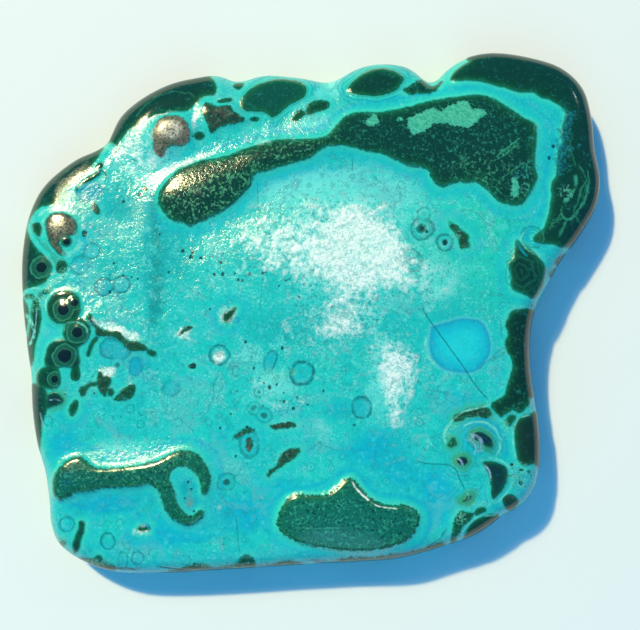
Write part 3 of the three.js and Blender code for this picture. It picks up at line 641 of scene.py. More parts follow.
def side_distance(places, run):
    """Distance of each place from a run of points, its side of it and how far along it is."""
    starts, ends = run[:-1], run[1:]
    steps = ends - starts
    lengths = np.maximum((steps ** 2).sum(1), 1e-12)
    best = np.full(len(places), 1e9)
    side = np.ones(len(places))
    reach = np.zeros(len(places))
    for first in range(0, len(places), 4000):
        part = places[first:first + 4000]
        off = part[:, None, :] - starts[None, :, :]
        t = np.clip((off * steps).sum(2) / lengths, 0, 1)
        gap = off - t[..., None] * steps
        square = (gap ** 2).sum(2)
        nearest = square.argmin(1)
        rows = np.arange(len(part))
        best[first:first + 4000] = np.sqrt(square[rows, nearest])
        turned = (steps[nearest, 0] * gap[rows, nearest, 1]
                  - steps[nearest, 1] * gap[rows, nearest, 0])
        side[first:first + 4000] = np.where(turned < 0, -1, 1)
        reach[first:first + 4000] = (nearest + t[rows, nearest]) / len(steps)
    return best, side, reach


def near(places, low, high, margin):
    """The places inside a rectangle with a margin round it."""
    inside = (places >= np.array(low) - margin) & (places <= np.array(high) + margin)
    return np.flatnonzero(inside.all(1))


def depth_in(places, outline):
    """Distance inside a closed outline, negative outside it."""
    run = along(list(outline) + [outline[0]])
    gap, _, _ = side_distance(places, run)
    x, y = places.T
    crossed = np.zeros(len(places), int)
    for (x0, y0), (x1, y1) in zip(run[:-1], run[1:]):
        if y0 == y1:
            continue
        straddles = (y0 > y) != (y1 > y)
        crossed += straddles & (x < x0 + (y - y0) * (x1 - x0) / (y1 - y0))
    return np.where(crossed % 2 == 1, gap, -gap)


# ---------------------------------------------------------------------------------------------
# The stained ground. Copper silicate that ran in at different times, so the turquoise drifts to
# azure, to sea green and to a pale milky blue. The glare and dust stains are mostly no mineral:
# they are painted highlight, pale where the polish would catch the sun.

# Each stain: its place, how far it reaches across and along in mm, its turn in degrees, and
# how strong it is.
stains = {
    "azure": [
        (-62, -60, 14, 5, 0, 0.9), (-40, -68, 10, 5, 0, 0.8), (-20, -64, 11, 7, 0, 1.0),
        (-6, -55, 9, 3, 0, 0.8), (26, -52, 14, 8, -10, 0.8), (38, -60, 5, 9, 0, 0.9),
        (-52, -18, 4, 3, 0, 0.8), (-20, -40, 13, 6, 0, 0.6), (8, -33, 6, 4, 0, 0.6),
        (-75, -44, 5, 5, 0, 0.9), (-58, -40, 20, 5, 0, 0.5), (50, -43, 8, 6, 0, 0.8),
        (44, -30, 9, 6, 0, 0.5), (-80, -10, 3, 6, 0, 0.3), (-5, 38, 30, 4, 14, 0.4),
        (-69, 35, 5, 4, 0, 0.6), (12, -46, 10, 4, 0, 0.5), (20, -41, 9, 5, 0, 0.6),
        (-50, -71, 16, 5, 0, 0.5), (2, 39, 22, 3, 14, 0.5)],
    "green": [
        (45, 15, 20, 18, 0, 0.8), (-10, 57, 30, 4, 10, 0.5), (-80, -26, 5, 4, 0, 0.6),
        (36, -70, 8, 5, 0, 0.8), (-11, -76, 8, 3, 0, 0.7), (60, -5, 8, 12, 0, 0.4),
        (-70, 40, 10, 10, 0, 0.3), (60, 26, 10, 7, 0, 0.5), (8, -20, 14, 12, 0, 0.3),
        (-48.3, 18, 3, 24, 0, 0.7)],
    "pale": [
        (26, 37, 8, 5, 0, 0.5), (10, 16, 30, 17, -8, 1.0), (15, 32, 26, 7, -4, 0.7),
        (-11, -24.5, 9, 4, -15, 0.9), (-57, -45, 12, 4, 0, 0.8), (-38, -10, 6, 5, 0, 0.6),
        (-36, -19.7, 3, 3, 0, 0.5), (-8, -37.5, 7, 2.5, 0, 0.8), (4, -38, 5, 3, 0, 0.7),
        (-70, 25, 3, 6, 0, 0.4), (-85, -1, 3, 4, 0, 0.7), (19, -30, 4, 6, 0, 0.6),
        (24, -24, 7, 14, 12, 0.8), (-12, 54, 16, 3, 8, 0.7), (2, 56.5, 12, 3.5, 20, 0.7),
        (0, 38, 24, 4, 14, 0.7), (-15, -30, 6, 4, 0, 0.6), (-48, 42, 9, 8, 0, 0.8),
        (40, 6, 9, 8, 0, 0.5), (-25, -4.5, 3.5, 2.5, 30, 0.5), (-80, -10, 4, 6, 0, 0.7),
        (7, 69, 2.6, 4.5, 0, 1.6), (2, 66.5, 1.6, 2, 0, 1.2), (-57, 47, 8, 7, 30, 0.6),
        (-30, -50, 12, 4, 0, 0.4)],
    "deep": [
        (-46, 14, 12, 16, 0, 0.6), (-48.3, 18, 2.6, 24, 0, 1.8), (30, -5, 20, 10, 0, 0.4),
        (-10, -8, 18, 8, 0, 0.5), (9, -33, 5, 4, 0, 0.6), (-76, -44, 5, 5, 0, 0.6),
        (76, 45, 3.5, 14, 0, 0.8), (55, -46, 8, 8, 0, 0.5), (-37, -57, 3.5, 6, 0, 1.7),
        (-60, 30, 8, 6, 0, 0.9), (-66, 10, 8, 6, 0, 0.4), (-5, -78, 30, 4, 0, 0.8)],
    # Painted sun glare: where these stains are strong the colour is a near-white painted highlight.
    "painted_glare": [
        (3, 16, 24, 12, 0, 1.05), (16, 15, 9, 8, 0, 3.0), (-52, 45, 8, 9, 0, 0.7),
        (-58.5, -9.2, 9, 1.5, -23, 1.5), (-62, -21.5, 3, 1.5, -20, 1.4),
        (-48, 59.6, 9, 1.3, 20, 1.2), (-36.6, 58, 1.2, 4.5, 0, 1.2), (-26, -4, 3, 3, 0, 1.1),
        (-38.6, -9.6, 3.5, 2.8, 0, 0.9), (-28.3, -16.5, 2.2, 2.2, 0, 1.5),
        (-50, -68.5, 2.6, 2, 0, 0.8), (-9, -31.5, 6, 2, 0, 0.7), (-38, 44.2, 10, 1.4, 24, 0.9),
        (-10, -47, 5, 1.5, 40, 0.6), (-10, 52, 22, 3, 10, 0.5), (-20, 22, 12, 9, 0, 0.3),
        (24, -25, 6, 14, 12, 0.7), (38, 6, 9, 7, 0, 0.45), (0, -9, 12, 7, 0, 0.5),
        (-58, 47, 9, 7, 30, 0.1), (11, -5, 8, 8, 0, 0.8), (28, 8, 6, 7, 0, 0.4),
        (27.5, -19.5, 5.5, 7.5, 10, 0.9), (24, -33, 3, 8, 5, 0.3), (-57, -45.5, 12, 2.5, 0, 0.6),
        (-70, 25, 3, 6, 0, 0.5), (-16, -25, 4, 2, -20, 0.7), (-28, -62, 2.5, 2.5, 0, 0.5),
        (14, 29, 18, 4, 0, 0.5), (-60, -20, 10, 8, 0, 0.2)],
    "haze": [
        (77.5, 48, 3, 9, -6, 1.5), (80, 58, 3, 4, 0, 0.9), (66, 40, 4, 5, 0, 0.5),
        (-73, -54, 2.5, 2.5, 0, 0.8)],
    "grit": [
        (-33, 35, 18, 9, 28, 1.0), (-8, 47, 14, 3, 12, 0.7), (56, 42, 12, 6, 0, 0.35),
        (-60, -51.5, 22, 3.5, 2, 0.6), (-38, -46.5, 8, 2, 0, 0.25)],
    # Dust stains: brown grains, and where they are strongest a pale painted highlight of warm
    # glare.
    "dust_and_glare": [
        (-73, 40.5, 6, 2, 40, 1.0), (-78, 34, 2.5, 4.5, 0, 1.0), (-78, 23, 4, 4.5, 0, 1.0),
        (-43.5, 53.5, 5, 4.5, 0, 1.2), (-44.6, 54.6, 3.2, 2.6, 20, 2.0), (-80, 24.5, 2, 2, 0, 0.6),
        (-36.5, -60, 1.8, 4, 0, 0.7), (-28, 59, 5, 3, -30, 0.5), (-67.5, 29.5, 2, 2.5, 0, 0.7),
        (-50, 35.5, 3, 2.5, 0, 0.5), (-35, 34, 9, 5, 30, 0.45), (-80.5, 13.5, 2, 4, 30, 0.5),
        (-74, -1, 3, 3, 0, 0.4)],
    "seeds": [
        (62.5, -52.5, 4.5, 4.5, 0, 1.1), (-12, -23, 7, 3, -10, 0.6), (-12, -30, 7, 2.5, 0, 0.5),
        (-74, -72, 6, 2, -45, 0.8), (-64, -77.5, 7, 1.5, 0, 0.8), (-28, -78, 14, 1.2, 0, 0.8),
        (-36, -19.5, 2.5, 1.5, 0, 0.6), (-28, -17, 2, 2, 0, 0.5), (44, 20, 3, 5, 0, 0.6),
        (35, 24, 2, 3, 0, 0.6), (-68, 30, 3, 4, 0, 0.6), (-72.5, 21.5, 2, 2, 0, 0.7),
        (42, -39, 2.5, 4, -30, 0.8), (44, -64, 3, 3, 0, 0.8), (58, -39, 2, 5, 0, 0.8),
        (-84, 2.5, 4, 2.5, 0, 1.0), (-78, 8, 5, 2, 40, 0.9), (-85, -1, 2, 3, 0, 0.8),
        (-74, -27, 3, 3, 0, 0.7), (71, -1.5, 5, 2, 0, 0.8), (61, 15, 2, 4, 0, 0.8),
        (79, 34, 3, 4, 0, 0.7), (-6, -21.5, 2, 1.5, 0, 0.7), (-44, 60.5, 8, 1.5, 20, 0.5),
        (66, 36, 2.5, 5, 0, 0.6)],
}


def stained(places, colour):
    """How strongly each place has taken a colour."""
    total = np.zeros(len(places))
    for x, y, across, along_it, turn, strength in stains[colour]:
        c, s = math.cos(math.radians(turn)), math.sin(math.radians(turn))
        off = places - (x, y)
        u = (off[:, 0] * c + off[:, 1] * s) / across
        v = (off[:, 1] * c - off[:, 0] * s) / along_it
        total += strength * np.exp(-(u ** 2 + v ** 2))
    return total


# ---------------------------------------------------------------------------------------------
# The polished stone itself. The soft wheel leaves each window proud with a rounded flank, dishes
# the softer ground between them and opens the pits; the underside stays as it was sawn.

# Each dish: its place, its reach and its depth in mm.
dishes = [(-56, 63, 13, -0.4), (-84, 36, 10, 0.5), (-48.3, 20, 3, 0.2), (-48, 5, 3, 0.15),
          (20, -24, 5, 0.1), (35, -56, 7, 0.25), (-20, -66, 9, 0.2)]
DEEPEST = 9.0  # mm beyond which the distance from a window no longer matters
NEAR_OUTLINE, NEAR_PIT, NEAR_CRACK = 0.16, 0.5, 0.4  # mm within which the mesh is made finer
NEAR_GROWTH = 1.1  # of a growth's radius
BED_STEP = 8 * MM  # the underside's own points stand this far apart
BED_MARGIN = 4  # mm they keep from the wall
WINDOW_LOOKS = ("grain", "brown", "navy", "leafy", "halo", "fringe", "layers")
DISC_LOOKS = ("line", "core", "skin", "azure", "rings")

PIT_SINK, CRACK_SINK = 0.03, 0.08  # mm
RELIEF_FADES = (3, 9)  # mm up the wall, from none to all of it


def smooth_step(value, low, high):
    t = np.clip((value - low) / (high - low), 0, 1)
    return t * t * (3 - 2 * t)


def windows_at(places):
    """Depth in the nearest window, its look and the height that it stands above the ground."""
    count = len(places)
    depth = np.full(count, -DEEPEST)
    weight = np.full(count, 1e-6)
    looks = {name: np.zeros(count) for name in WINDOW_LOOKS}
    rise = np.zeros(count)
    for made in windows:
        outline = np.array(made["outline"])
        chosen = near(places, outline.min(0), outline.max(0), DEEPEST)
        if not len(chosen):
            continue
        deep = depth_in(places[chosen], made["outline"])
        depth[chosen] = np.maximum(depth[chosen], deep)
        share = np.exp(2.5 * np.clip(deep, -DEEPEST, 1.0))
        weight[chosen] += share
        for name in WINDOW_LOOKS:
            looks[name][chosen] += share * made[name]
        flank = made["flank"]
        lift = made["rise"] * smooth_step(deep, -0.65 * flank, 0.35 * flank)
        rise[chosen] = np.maximum(rise[chosen], lift)
    return depth, {name: value / weight for name, value in looks.items()}, rise


def discs_at(places):
    """Share of the way out across the nearest growth, its look and its dome."""
    reach = np.full(len(places), 1.6)
    looks = {name: np.zeros(len(places)) for name in DISC_LOOKS}
    dome = np.zeros(len(places))
    for made in discs:
        chosen = near(places, (made["x"], made["y"]), (made["x"], made["y"]),
                      1.7 * max(made["across"], made["along"]))
        if not len(chosen):
            continue
        out = reach_of(places[chosen], made)
        closer = out < reach[chosen]
        reach[chosen[closer]] = out[closer]
        for name in DISC_LOOKS:
            looks[name][chosen[closer]] = made[name]
        dome[chosen] += made["dome"] * (1 - smooth_step(out, 0.2, 1.1))
    return reach, looks, dome


def pits_at(places):
    """Depth in the nearest pit, negative outside it."""
    deepest = np.full(len(places), -2.0)
    for x, y, radius in pits:
        gap = radius - np.hypot(places[:, 0] - x, 0.8 * (places[:, 1] - y))
        deepest = np.maximum(deepest, gap)
    return deepest


def lines_at(places, lines):
    """Distance to the side of the nearest line, and how strong that line is there. A line may
    bring a width of its own, and its distances are then counted in that."""
    side = np.full(len(places), 3.0)
    strength = np.zeros(len(places))
    for route, force, *width in lines:
        unit = width[0] if width else 1.0
        run = along(route)
        chosen = near(places, run.min(0), run.max(0), 2.0 * unit)
        if not len(chosen):
            continue
        gap, hand, reach = side_distance(places[chosen], run)
        gap = gap / unit
        ends = smooth_step(reach, 0, 0.08) * (1 - smooth_step(reach, 0.92, 1))
        closer = gap < np.abs(side[chosen])
        side[chosen[closer]] = (gap * hand)[closer]
        fade = 1 - smooth_step(gap, 0.6 if width else 0.8, 1.0 if width else 1.8)
        strength[chosen[closer]] = (force * ends * fade)[closer]
    return side, strength


def refine(mesh):
    """Divides the mesh once more along outlines, dark growths, pits and cracks."""
    shape = bmesh.new()
    shape.from_mesh(mesh)
    places = face_places(np.array([v.co for v in shape.verts]))
    depth, _, _ = windows_at(places)
    reach, looks, _ = discs_at(places)
    marked = looks["core"] > 0.5
    cracked, crack_force = lines_at(places, cracks)
    wanted = (np.abs(depth) < NEAR_OUTLINE) | (pits_at(places) > -NEAR_PIT)
    wanted |= marked & (reach < NEAR_GROWTH)
    wanted |= (np.abs(cracked) < NEAR_CRACK) & (crack_force > 0.5)
    shape.verts.ensure_lookup_table()
    edges = set()
    for face in shape.faces:
        if sum(wanted[v.index] for v in face.verts) >= 2:
            edges.update(face.edges)
    bmesh.ops.subdivide_edges(shape, edges=list(edges), cuts=1, use_grid_fill=True)
    shape.to_mesh(mesh)
    shape.free()


def close_underside(mesh):
    """Fills the open bottom with flat triangles, corner to corner with the wall."""
    shape = bmesh.new()
    shape.from_mesh(mesh)
    start = next(e for e in shape.edges if e.is_boundary)
    loop = [start.verts[0], start.verts[1]]
    while True:
        onward = next(e for e in loop[-1].link_edges
                      if e.is_boundary and e.other_vert(loop[-1]) is not loop[-2])
        following = onward.other_vert(loop[-1])
        if following is loop[0]:
            break
        loop.append(following)
    for corner in loop:
        corner.co.z = 0
    rim = [corner.co.xy.copy() for corner in loop]
    width, depth = np.ptp([p.x for p in rim]), np.ptp([p.y for p in rim])
    low = (min(p.x for p in rim), min(p.y for p in rim))
    inner = [(low[0] + i * BED_STEP, low[1] + j * BED_STEP)
             for i in range(int(width / BED_STEP) + 1)
             for j in range(int(depth / BED_STEP) + 1)]
    run = np.array([tuple(p) for p in rim + rim[:1]]) / MM
    gap, _, _ = side_distance(np.array(inner) / MM, run)
    points = rim + [p for p, g in zip(inner, gap) if g > BED_MARGIN]
    edges = [(i, (i + 1) % len(rim)) for i in range(len(rim))]
    placed, _, faces, source, _, _ = delaunay_2d_cdt(
        [tuple(p) for p in points], edges, [], 1, 1e-7)
    corners = []
    for spot, came in zip(placed, source):
        known = [i for i in came if i < len(loop)]
        corners.append(loop[known[0]] if known else shape.verts.new((*spot, 0)))
    for face in faces:
        made = shape.faces.new([corners[i] for i in reversed(face)])
        made.smooth = False
    shape.normal_update()
    shape.to_mesh(mesh)
    shape.free()


def write_floats(mesh, name, values):
    layer = mesh.attributes.new(name, "FLOAT", "POINT")
    layer.data.foreach_set("value", values.astype(np.float32))


stone_mesh = quad_mesh_of(sawn_node)
refine(stone_mesh)
stone_mesh.shade_smooth()
positions = positions_of(stone_mesh)
normals = np.empty(len(positions) * 3, np.float32)
stone_mesh.vertex_normals.foreach_get("vector", normals)
normals = normals.reshape(-1, 3).astype(float)
places = face_places(positions)
_, _, proud = windows_at(places)
_, _, dome = discs_at(places)
pit_depth = pits_at(places)
cracked, crack_force = lines_at(places, cracks)
opened = smooth_step(pit_depth, -0.1, 0.4)
crevice = crack_force * (1 - smooth_step(np.abs(cracked), 0.0, 0.35))
lift = proud + dome - PIT_SINK * opened - CRACK_SINK * crevice
for x, y, across, fall in dishes:
    lift -= fall * np.exp(-((places - (x, y)) ** 2).sum(1) / across ** 2)
lift *= smooth_step(positions[:, 2] / MM, *RELIEF_FADES)
positions += normals * lift[:, None] * MM
stone_mesh.vertices.foreach_set("co", positions.astype(np.float32).ravel())
close_underside(stone_mesh)

positions = positions_of(stone_mesh)
places = face_places(positions)
depth, window_look, _ = windows_at(places)
reach, disc_look, _ = discs_at(places)
cracked, crack_force = lines_at(places, cracks)
veined, vein_force = lines_at(places, veins)
write_floats(stone_mesh, "window_depth", depth)
for name, values in window_look.items():
    write_floats(stone_mesh, "window_" + name, values)
for name, outlines in (("pool_depth", pools), ("inlay_depth", inlays)):
    deepest = np.max([depth_in(places, outline) for outline in outlines], axis=0)
    write_floats(stone_mesh, name, np.maximum(deepest, -DEEPEST))
write_floats(stone_mesh, "disc_reach", reach)
for name, values in disc_look.items():
    write_floats(stone_mesh, "disc_" + name, values)
write_floats(stone_mesh, "pit_depth", pits_at(places))
write_floats(stone_mesh, "crack_side", cracked)
write_floats(stone_mesh, "crack_force", crack_force)
write_floats(stone_mesh, "vein_side", veined)
write_floats(stone_mesh, "vein_force", vein_force)
for colour, lines in threads.items():
    side, force = lines_at(places, lines)
    write_floats(stone_mesh, "thread_side_" + colour, side)
    write_floats(stone_mesh, "thread_force_" + colour, force)
for colour in stains:
    write_floats(stone_mesh, "stain_" + colour, stained(places, colour))
write_floats(stone_mesh, "sawn", (positions[:, 2] < 2 * FLAT_BELOW).astype(float))
stone = bpy.data.objects.new("chrysocolla_stone", stone_mesh)
bpy.context.scene.collection.objects.link(stone)

# The polish: wax-bright over the silicate, a little duller over grains and where glare is painted.
# Every colour is laid by how far a place is from a window, a growth, a crack or a stain.

polish = bpy.data.materials.new("polished_chrysocolla")
polish.use_nodes = True
nodes, links = polish.node_tree.nodes, polish.node_tree.links
nodes.clear()


def paint(red, green, blue):
    """A colour given as it looks on a colour card, 0 to 255."""
    level = [c / 255 for c in (red, green, blue)]
    return tuple(c / 12.92 if c < 0.04045 else ((c + 0.055) / 1.055) ** 2.4 for c in level) + (1,)


def plug(socket, value):
    if isinstance(value, bpy.types.NodeSocket):
        links.new(value, socket)
    else:
        socket.default_value = value


def calc(operation, a, b=0.0, c=0.0, clamp=False):
    made = nodes.new("ShaderNodeMath")
    made.operation = operation
    made.use_clamp = clamp
    for socket, value in zip(made.inputs, (a, b, c)):
        plug(socket, value)
    return made.outputs[0]


def total(*values):
    sum_so_far = values[0]
    for value in values[1:]:
        sum_so_far = calc("ADD", sum_so_far, value)
    return sum_so_far


def product(*values):
    so_far = values[0]
    for value in values[1:]:
        so_far = calc("MULTIPLY", so_far, value)
    return so_far


def between(value, low, high, start=0.0, end=1.0):
    """A smooth step from start to end as the value goes from low to high."""
    made = nodes.new("ShaderNodeMapRange")
    made.interpolation_type = "SMOOTHSTEP"
    for socket, given in zip(made.inputs, (value, low, high, start, end)):
        plug(socket, given)
    return made.outputs[0]


def measured(name):
    made = nodes.new("ShaderNodeAttribute")
    made.attribute_name = name
    return made.outputs["Fac"]


def mixed(share, first, second):
    made = nodes.new("ShaderNodeMix")
    made.data_type = "RGBA"
    plug(made.inputs[0], share)
    plug(made.inputs[6], first)
    plug(made.inputs[7], second)
    return made.outputs[2]


def shades(value, stops, low, high):
    """A run of colours, each given at its own measure."""
    made = nodes.new("ShaderNodeValToRGB")
    steps = made.color_ramp.elements
    while len(steps) < len(stops):
        steps.new(0.5)
    for step, (at, colour) in zip(steps, stops):
        step.position = (at - low) / (high - low)
        step.color = paint(*colour)
    plug(made.inputs[0], calc("DIVIDE", calc("SUBTRACT", value, low), high - low))
    return made.outputs[0]


in_stone = nodes.new("ShaderNodeTexCoord").outputs["Object"]


def grain_of(per_mm, detail=2.0, rough=0.5, warp=0.0, shift=(0, 0, 0)):
    """Cloudy noise, roughly -0.5 to 0.5, with so many lumps to the millimetre."""
    moved = nodes.new("ShaderNodeMapping")
    moved.inputs["Location"].default_value = shift
    links.new(in_stone, moved.inputs[0])
    made = nodes.new("ShaderNodeTexNoise")
    links.new(moved.outputs[0], made.inputs["Vector"])
    made.inputs["Scale"].default_value = per_mm / MM
    made.inputs["Detail"].default_value = detail
    made.inputs["Roughness"].default_value = rough
    made.inputs["Distortion"].default_value = warp
    return calc("SUBTRACT", made.outputs["Fac"], 0.5)


def beads_of(per_mm, share, shift=(0, 0, 0)):
    """Scattered round growths: how far out from a middle, and how strongly each one shows."""
    moved = nodes.new("ShaderNodeMapping")
    moved.inputs["Location"].default_value = shift
    moved.inputs["Scale"].default_value = (1, 1, 0.1)
    links.new(in_stone, moved.inputs[0])
    made = nodes.new("ShaderNodeTexVoronoi")
    made.inputs["Scale"].default_value = per_mm / MM
    links.new(moved.outputs[0], made.inputs["Vector"])
    chance = nodes.new("ShaderNodeSeparateColor")
    links.new(made.outputs["Color"], chance.inputs[0])
    radius = total(0.14, product(chance.outputs[1], 0.24))
    shown = between(chance.outputs[0], 1 - share, 1 - 0.6 * share)
    return calc("DIVIDE", made.outputs["Distance"], radius), shown


wavy = grain_of(0.22, 2, 0.5)
ragged = grain_of(0.9, 3, 0.6, 0.3)
fine = grain_of(1.7, 2, 0.7)
grit = grain_of(1.15, 3, 0.75, 0.2, (0, 0.5, 0.2))
cloud = grain_of(0.05, 4, 0.55, 0.6, (0.3, 0, 0))
streak = grain_of(0.12, 4, 0.6, 1.2, (0, 0.7, 0))
mottle = grain_of(0.45, 4, 0.65, 0.4, (0, 0, 0.4))
curd = grain_of(0.28, 5, 0.65, 0.4, (0.1, 0.2, 0))

# Ground colour.
azure = total(measured("stain_azure"), product(cloud, 1.2), product(streak, 0.5))
green = total(measured("stain_green"), product(streak, 1.4), product(wavy, 0.5))
pale = total(measured("stain_pale"), product(mottle, 1.6), product(streak, 1.2),
             product(curd, 1.6))
deep = total(measured("stain_deep"), product(cloud, -1.2), product(mottle, -1.4),
             product(curd, -1.8))
ground = mixed(between(green, 0.0, 1.0), paint(30, 200, 192), paint(38, 201, 176))
ground = mixed(between(deep, 0.0, 1.1, 0, 0.85), ground, paint(16, 170, 172))
ground = mixed(between(azure, 0.2, 1.0, 0, 0.9), ground, paint(8, 178, 204))
ground = mixed(between(pale, 0.15, 1.1, 0, 0.85), ground, paint(120, 232, 222))
clot = total(mottle, product(ragged, 0.6), product(curd, 0.8))
ground = mixed(between(clot, 0.0, 0.24, 0, 0.55), ground, paint(12, 152, 154))
ground = mixed(between(clot, -0.26, -0.06, 0.45, 0), ground, paint(92, 226, 218))
milky = between(total(streak, product(cloud, 1.2), product(curd, 0.9)), 0.02, 0.2, 0, 0.5)
ground = mixed(milky, ground, paint(92, 188, 190))

# Flecks, pores and small round growths that are part of the ground everywhere.
fleck = total(product(fine, 1.2), ragged, product(streak, 0.8))
ground = mixed(product(between(fleck, 0.08, 0.28, 0, 0.55), between(azure, 0.1, 0.7, 1, 0.0)),
               ground, paint(126, 236, 224))
pore = between(total(fine, product(ragged, 0.8)), -0.3, -0.1, 1, 0)
ground = mixed(product(pore, 0.6), ground, paint(12, 126, 126))
bead, bead_shown = beads_of(0.30, 0.5)
bead = total(bead, product(ragged, 0.4))
bead_shown = product(bead_shown, between(measured("window_depth"), -2.5, -1.2, 1, 0))
bead_line = product(between(bead, 0.7, 0.9), between(bead, 1.0, 1.2, 1, 0), bead_shown)
bead_inside = product(between(bead, 0.8, 0.95, 1, 0), bead_shown)
ground = mixed(product(bead_inside, 0.35), ground, paint(70, 208, 206))
ground = mixed(product(bead_line, 0.3), ground, paint(10, 120, 126))
ground = mixed(product(between(bead, 0.2, 0.4, 1, 0), bead_shown, 0.4), ground,
               paint(12, 124, 128))

# A faint net of dried cracks.
bend = nodes.new("ShaderNodeTexNoise")
bend.inputs["Scale"].default_value = 0.12 / MM
bend.inputs["Detail"].default_value = 3.0
links.new(in_stone, bend.inputs["Vector"])
shift = nodes.new("ShaderNodeVectorMath")
shift.operation = "SCALE"
shift.inputs["Scale"].default_value = 9 * MM
links.new(bend.outputs["Color"], shift.inputs[0])
bent = nodes.new("ShaderNodeVectorMath")
bent.operation = "ADD"
links.new(in_stone, bent.inputs[0])
links.new(shift.outputs[0], bent.inputs[1])
net = nodes.new("ShaderNodeTexVoronoi")
net.feature = "DISTANCE_TO_EDGE"
net.inputs["Scale"].default_value = 0.075 / MM
links.new(bent.outputs[0], net.inputs["Vector"])
netted = product(between(net.outputs["Distance"], 0.004, 0.018, 1, 0),
                 between(total(streak, product(cloud, 0.8)), -0.02, 0.1), 0.35)
ground = mixed(netted, ground, paint(8, 116, 120))

# The glassy pools.
pool = total(measured("pool_depth"), product(wavy, 1.2), product(ragged, 0.5))
glass = shades(pool, [(-1.2, (50, 200, 205)), (-0.4, (96, 204, 214)), (0.4, (20, 160, 190)),
                      (1.5, (18, 184, 208)), (4.0, (26, 205, 216)), (6.0, (34, 212, 218))],
               -1.2, 6.0)
ground = mixed(between(pool, -1.2, 0.2, 0, 0.85), ground, glass)

# Bands round the windows: the pale fringe, then the repeated layers.
depth = measured("window_depth")
shaken = total(depth, product(wavy, 1.0),
               product(ragged, total(0.6, product(measured("window_grain"), 1.7))),
               product(fine, total(0.2, product(measured("window_grain"), 1.0))))
fringe = shades(shaken, [
    (-6.0, (36, 200, 198)), (-4.2, (12, 178, 200)), (-2.6, (20, 190, 194)),
    (-1.5, (44, 202, 190)), (-0.75, (64, 208, 186)), (-0.45, (30, 160, 134)),
    (-0.2, (12, 96, 74)), (0.0, (8, 58, 46))], -6.0, 0.0)
reaching = total(shaken, product(streak, 6.0), product(cloud, 3.0))
fringe_share = product(measured("window_fringe"), between(reaching, -6.0, -1.2, 0, 1))
at_edge = between(shaken, -0.5, -0.1, 0, 0.9)
ground = mixed(calc("MAXIMUM", calc("MINIMUM", fringe_share, 1.0), at_edge), ground, fringe)
layer = calc("SINE", product(total(shaken, product(wavy, 1.2)), 5.2))
layers = product(measured("window_layers"), between(depth, -6.0, -4.0),
                 between(depth, -0.6, -0.3, 1, 0), between(layer, -0.6, 0.7))
ground = mixed(product(layers, 0.6), ground, paint(8, 136, 146))
halo = product(measured("window_halo"),
               between(total(shaken, product(mottle, 1.5)), -2.4, -0.9))
mossy = mixed(between(mottle, -0.1, 0.15), paint(46, 150, 108), paint(70, 150, 70))
ground = mixed(product(halo, 0.8), ground, mossy)

# Growths in the ground.
reach = total(measured("disc_reach"), product(ragged, 0.28), product(wavy, 0.55))
line = product(measured("disc_line"), between(reach, 0.68, 0.9), between(reach, 1.0, 1.15, 1, 0),
               between(mottle, -0.2, 0.05, 0.35, 1))
inside = between(reach, 0.95, 1.02, 1, 0)
ground = mixed(product(measured("disc_azure"), inside), ground, paint(14, 168, 194))
ringed = calc("SINE", product(reach, 21.0))
ground = mixed(product(measured("disc_rings"), inside, between(ringed, -0.2, 0.9), 0.6),
               ground, paint(14, 132, 132))
ground = mixed(product(line, 0.85), ground, paint(10, 108, 110))
core = product(measured("disc_core"), between(reach, 0.25, 0.55, 1, 0))
ground = mixed(core, ground, paint(24, 56, 40))

# Malachite.
gritty = measured("stain_grit")
grain_share = calc("ADD", measured("window_grain"), product(gritty, 0.6), clamp=True)
inward = total(shaken, product(wavy, 0.8))
body = shades(inward, [
    (0.0, (22, 104, 62)), (0.35, (14, 86, 44)), (1.0, (10, 62, 28)), (2.4, (8, 48, 20)),
    (6.0, (8, 44, 18))], 0.0, 6.0)
leaf = shades(inward, [(0.0, (40, 124, 74)), (0.5, (18, 104, 70)), (1.6, (14, 104, 82)),
                       (6.0, (16, 106, 90))], 0.0, 6.0)
body = mixed(measured("window_leafy"), body, leaf)
speck = between(total(grit, product(mottle, 0.5)), 0.02, 0.16)
body = mixed(product(speck, calc("ADD", product(grain_share, 0.8), 0.05)), body,
             paint(58, 168, 128))
body = mixed(product(speck, gritty, 0.85), body, paint(110, 188, 122))
body = mixed(product(between(total(ragged, fine), 0.04, 0.2), grain_share, 0.8), body,
             paint(6, 34, 26))
haze = between(total(measured("stain_haze"), product(mottle, 3.5), product(grit, 1.5)), 0.3, 1.0)
smoky = mixed(between(grit, -0.08, 0.1), paint(16, 76, 92), paint(30, 132, 130))
body = mixed(product(haze, 0.8), body, smoky)
body = mixed(product(measured("window_brown"), between(total(mottle, ragged), -0.3, 0.1)), body,
             paint(50, 50, 36))
body = mixed(product(measured("window_navy"), between(mottle, -0.2, 0.1)), body,
             paint(14, 32, 58))
skin = product(measured("disc_skin"), total(
    product(between(reach, 0.62, 0.72), between(reach, 0.9, 1.0, 1, 0), 0.2),
    product(between(reach, 0.92, 1.0), between(reach, 1.04, 1.14, 1, 0), 0.7),
    product(between(reach, 0.5, 0.58), between(reach, 0.6, 0.68, 1, 0), 0.4)))
body = mixed(skin, body, paint(56, 150, 114))
body = mixed(product(measured("disc_rings"), inside, between(ringed, -0.2, 0.9), 0.7), body,
             paint(26, 96, 68))
body = mixed(product(measured("disc_core"), between(reach, 0.45, 0.6, 1, 0)), body,
             paint(9, 28, 22))
edge = between(total(shaken, product(fine, 0.3)), -0.1, 0.1)
colour = mixed(edge, ground, body)
inlay = between(total(measured("inlay_depth"), product(ragged, 2.5), product(grit, 2.0)),
                -0.3, 0.3)
filling = mixed(between(grit, -0.1, 0.12), paint(96, 208, 170), paint(50, 172, 142))
colour = mixed(product(inlay, edge, 0.85), colour, filling)
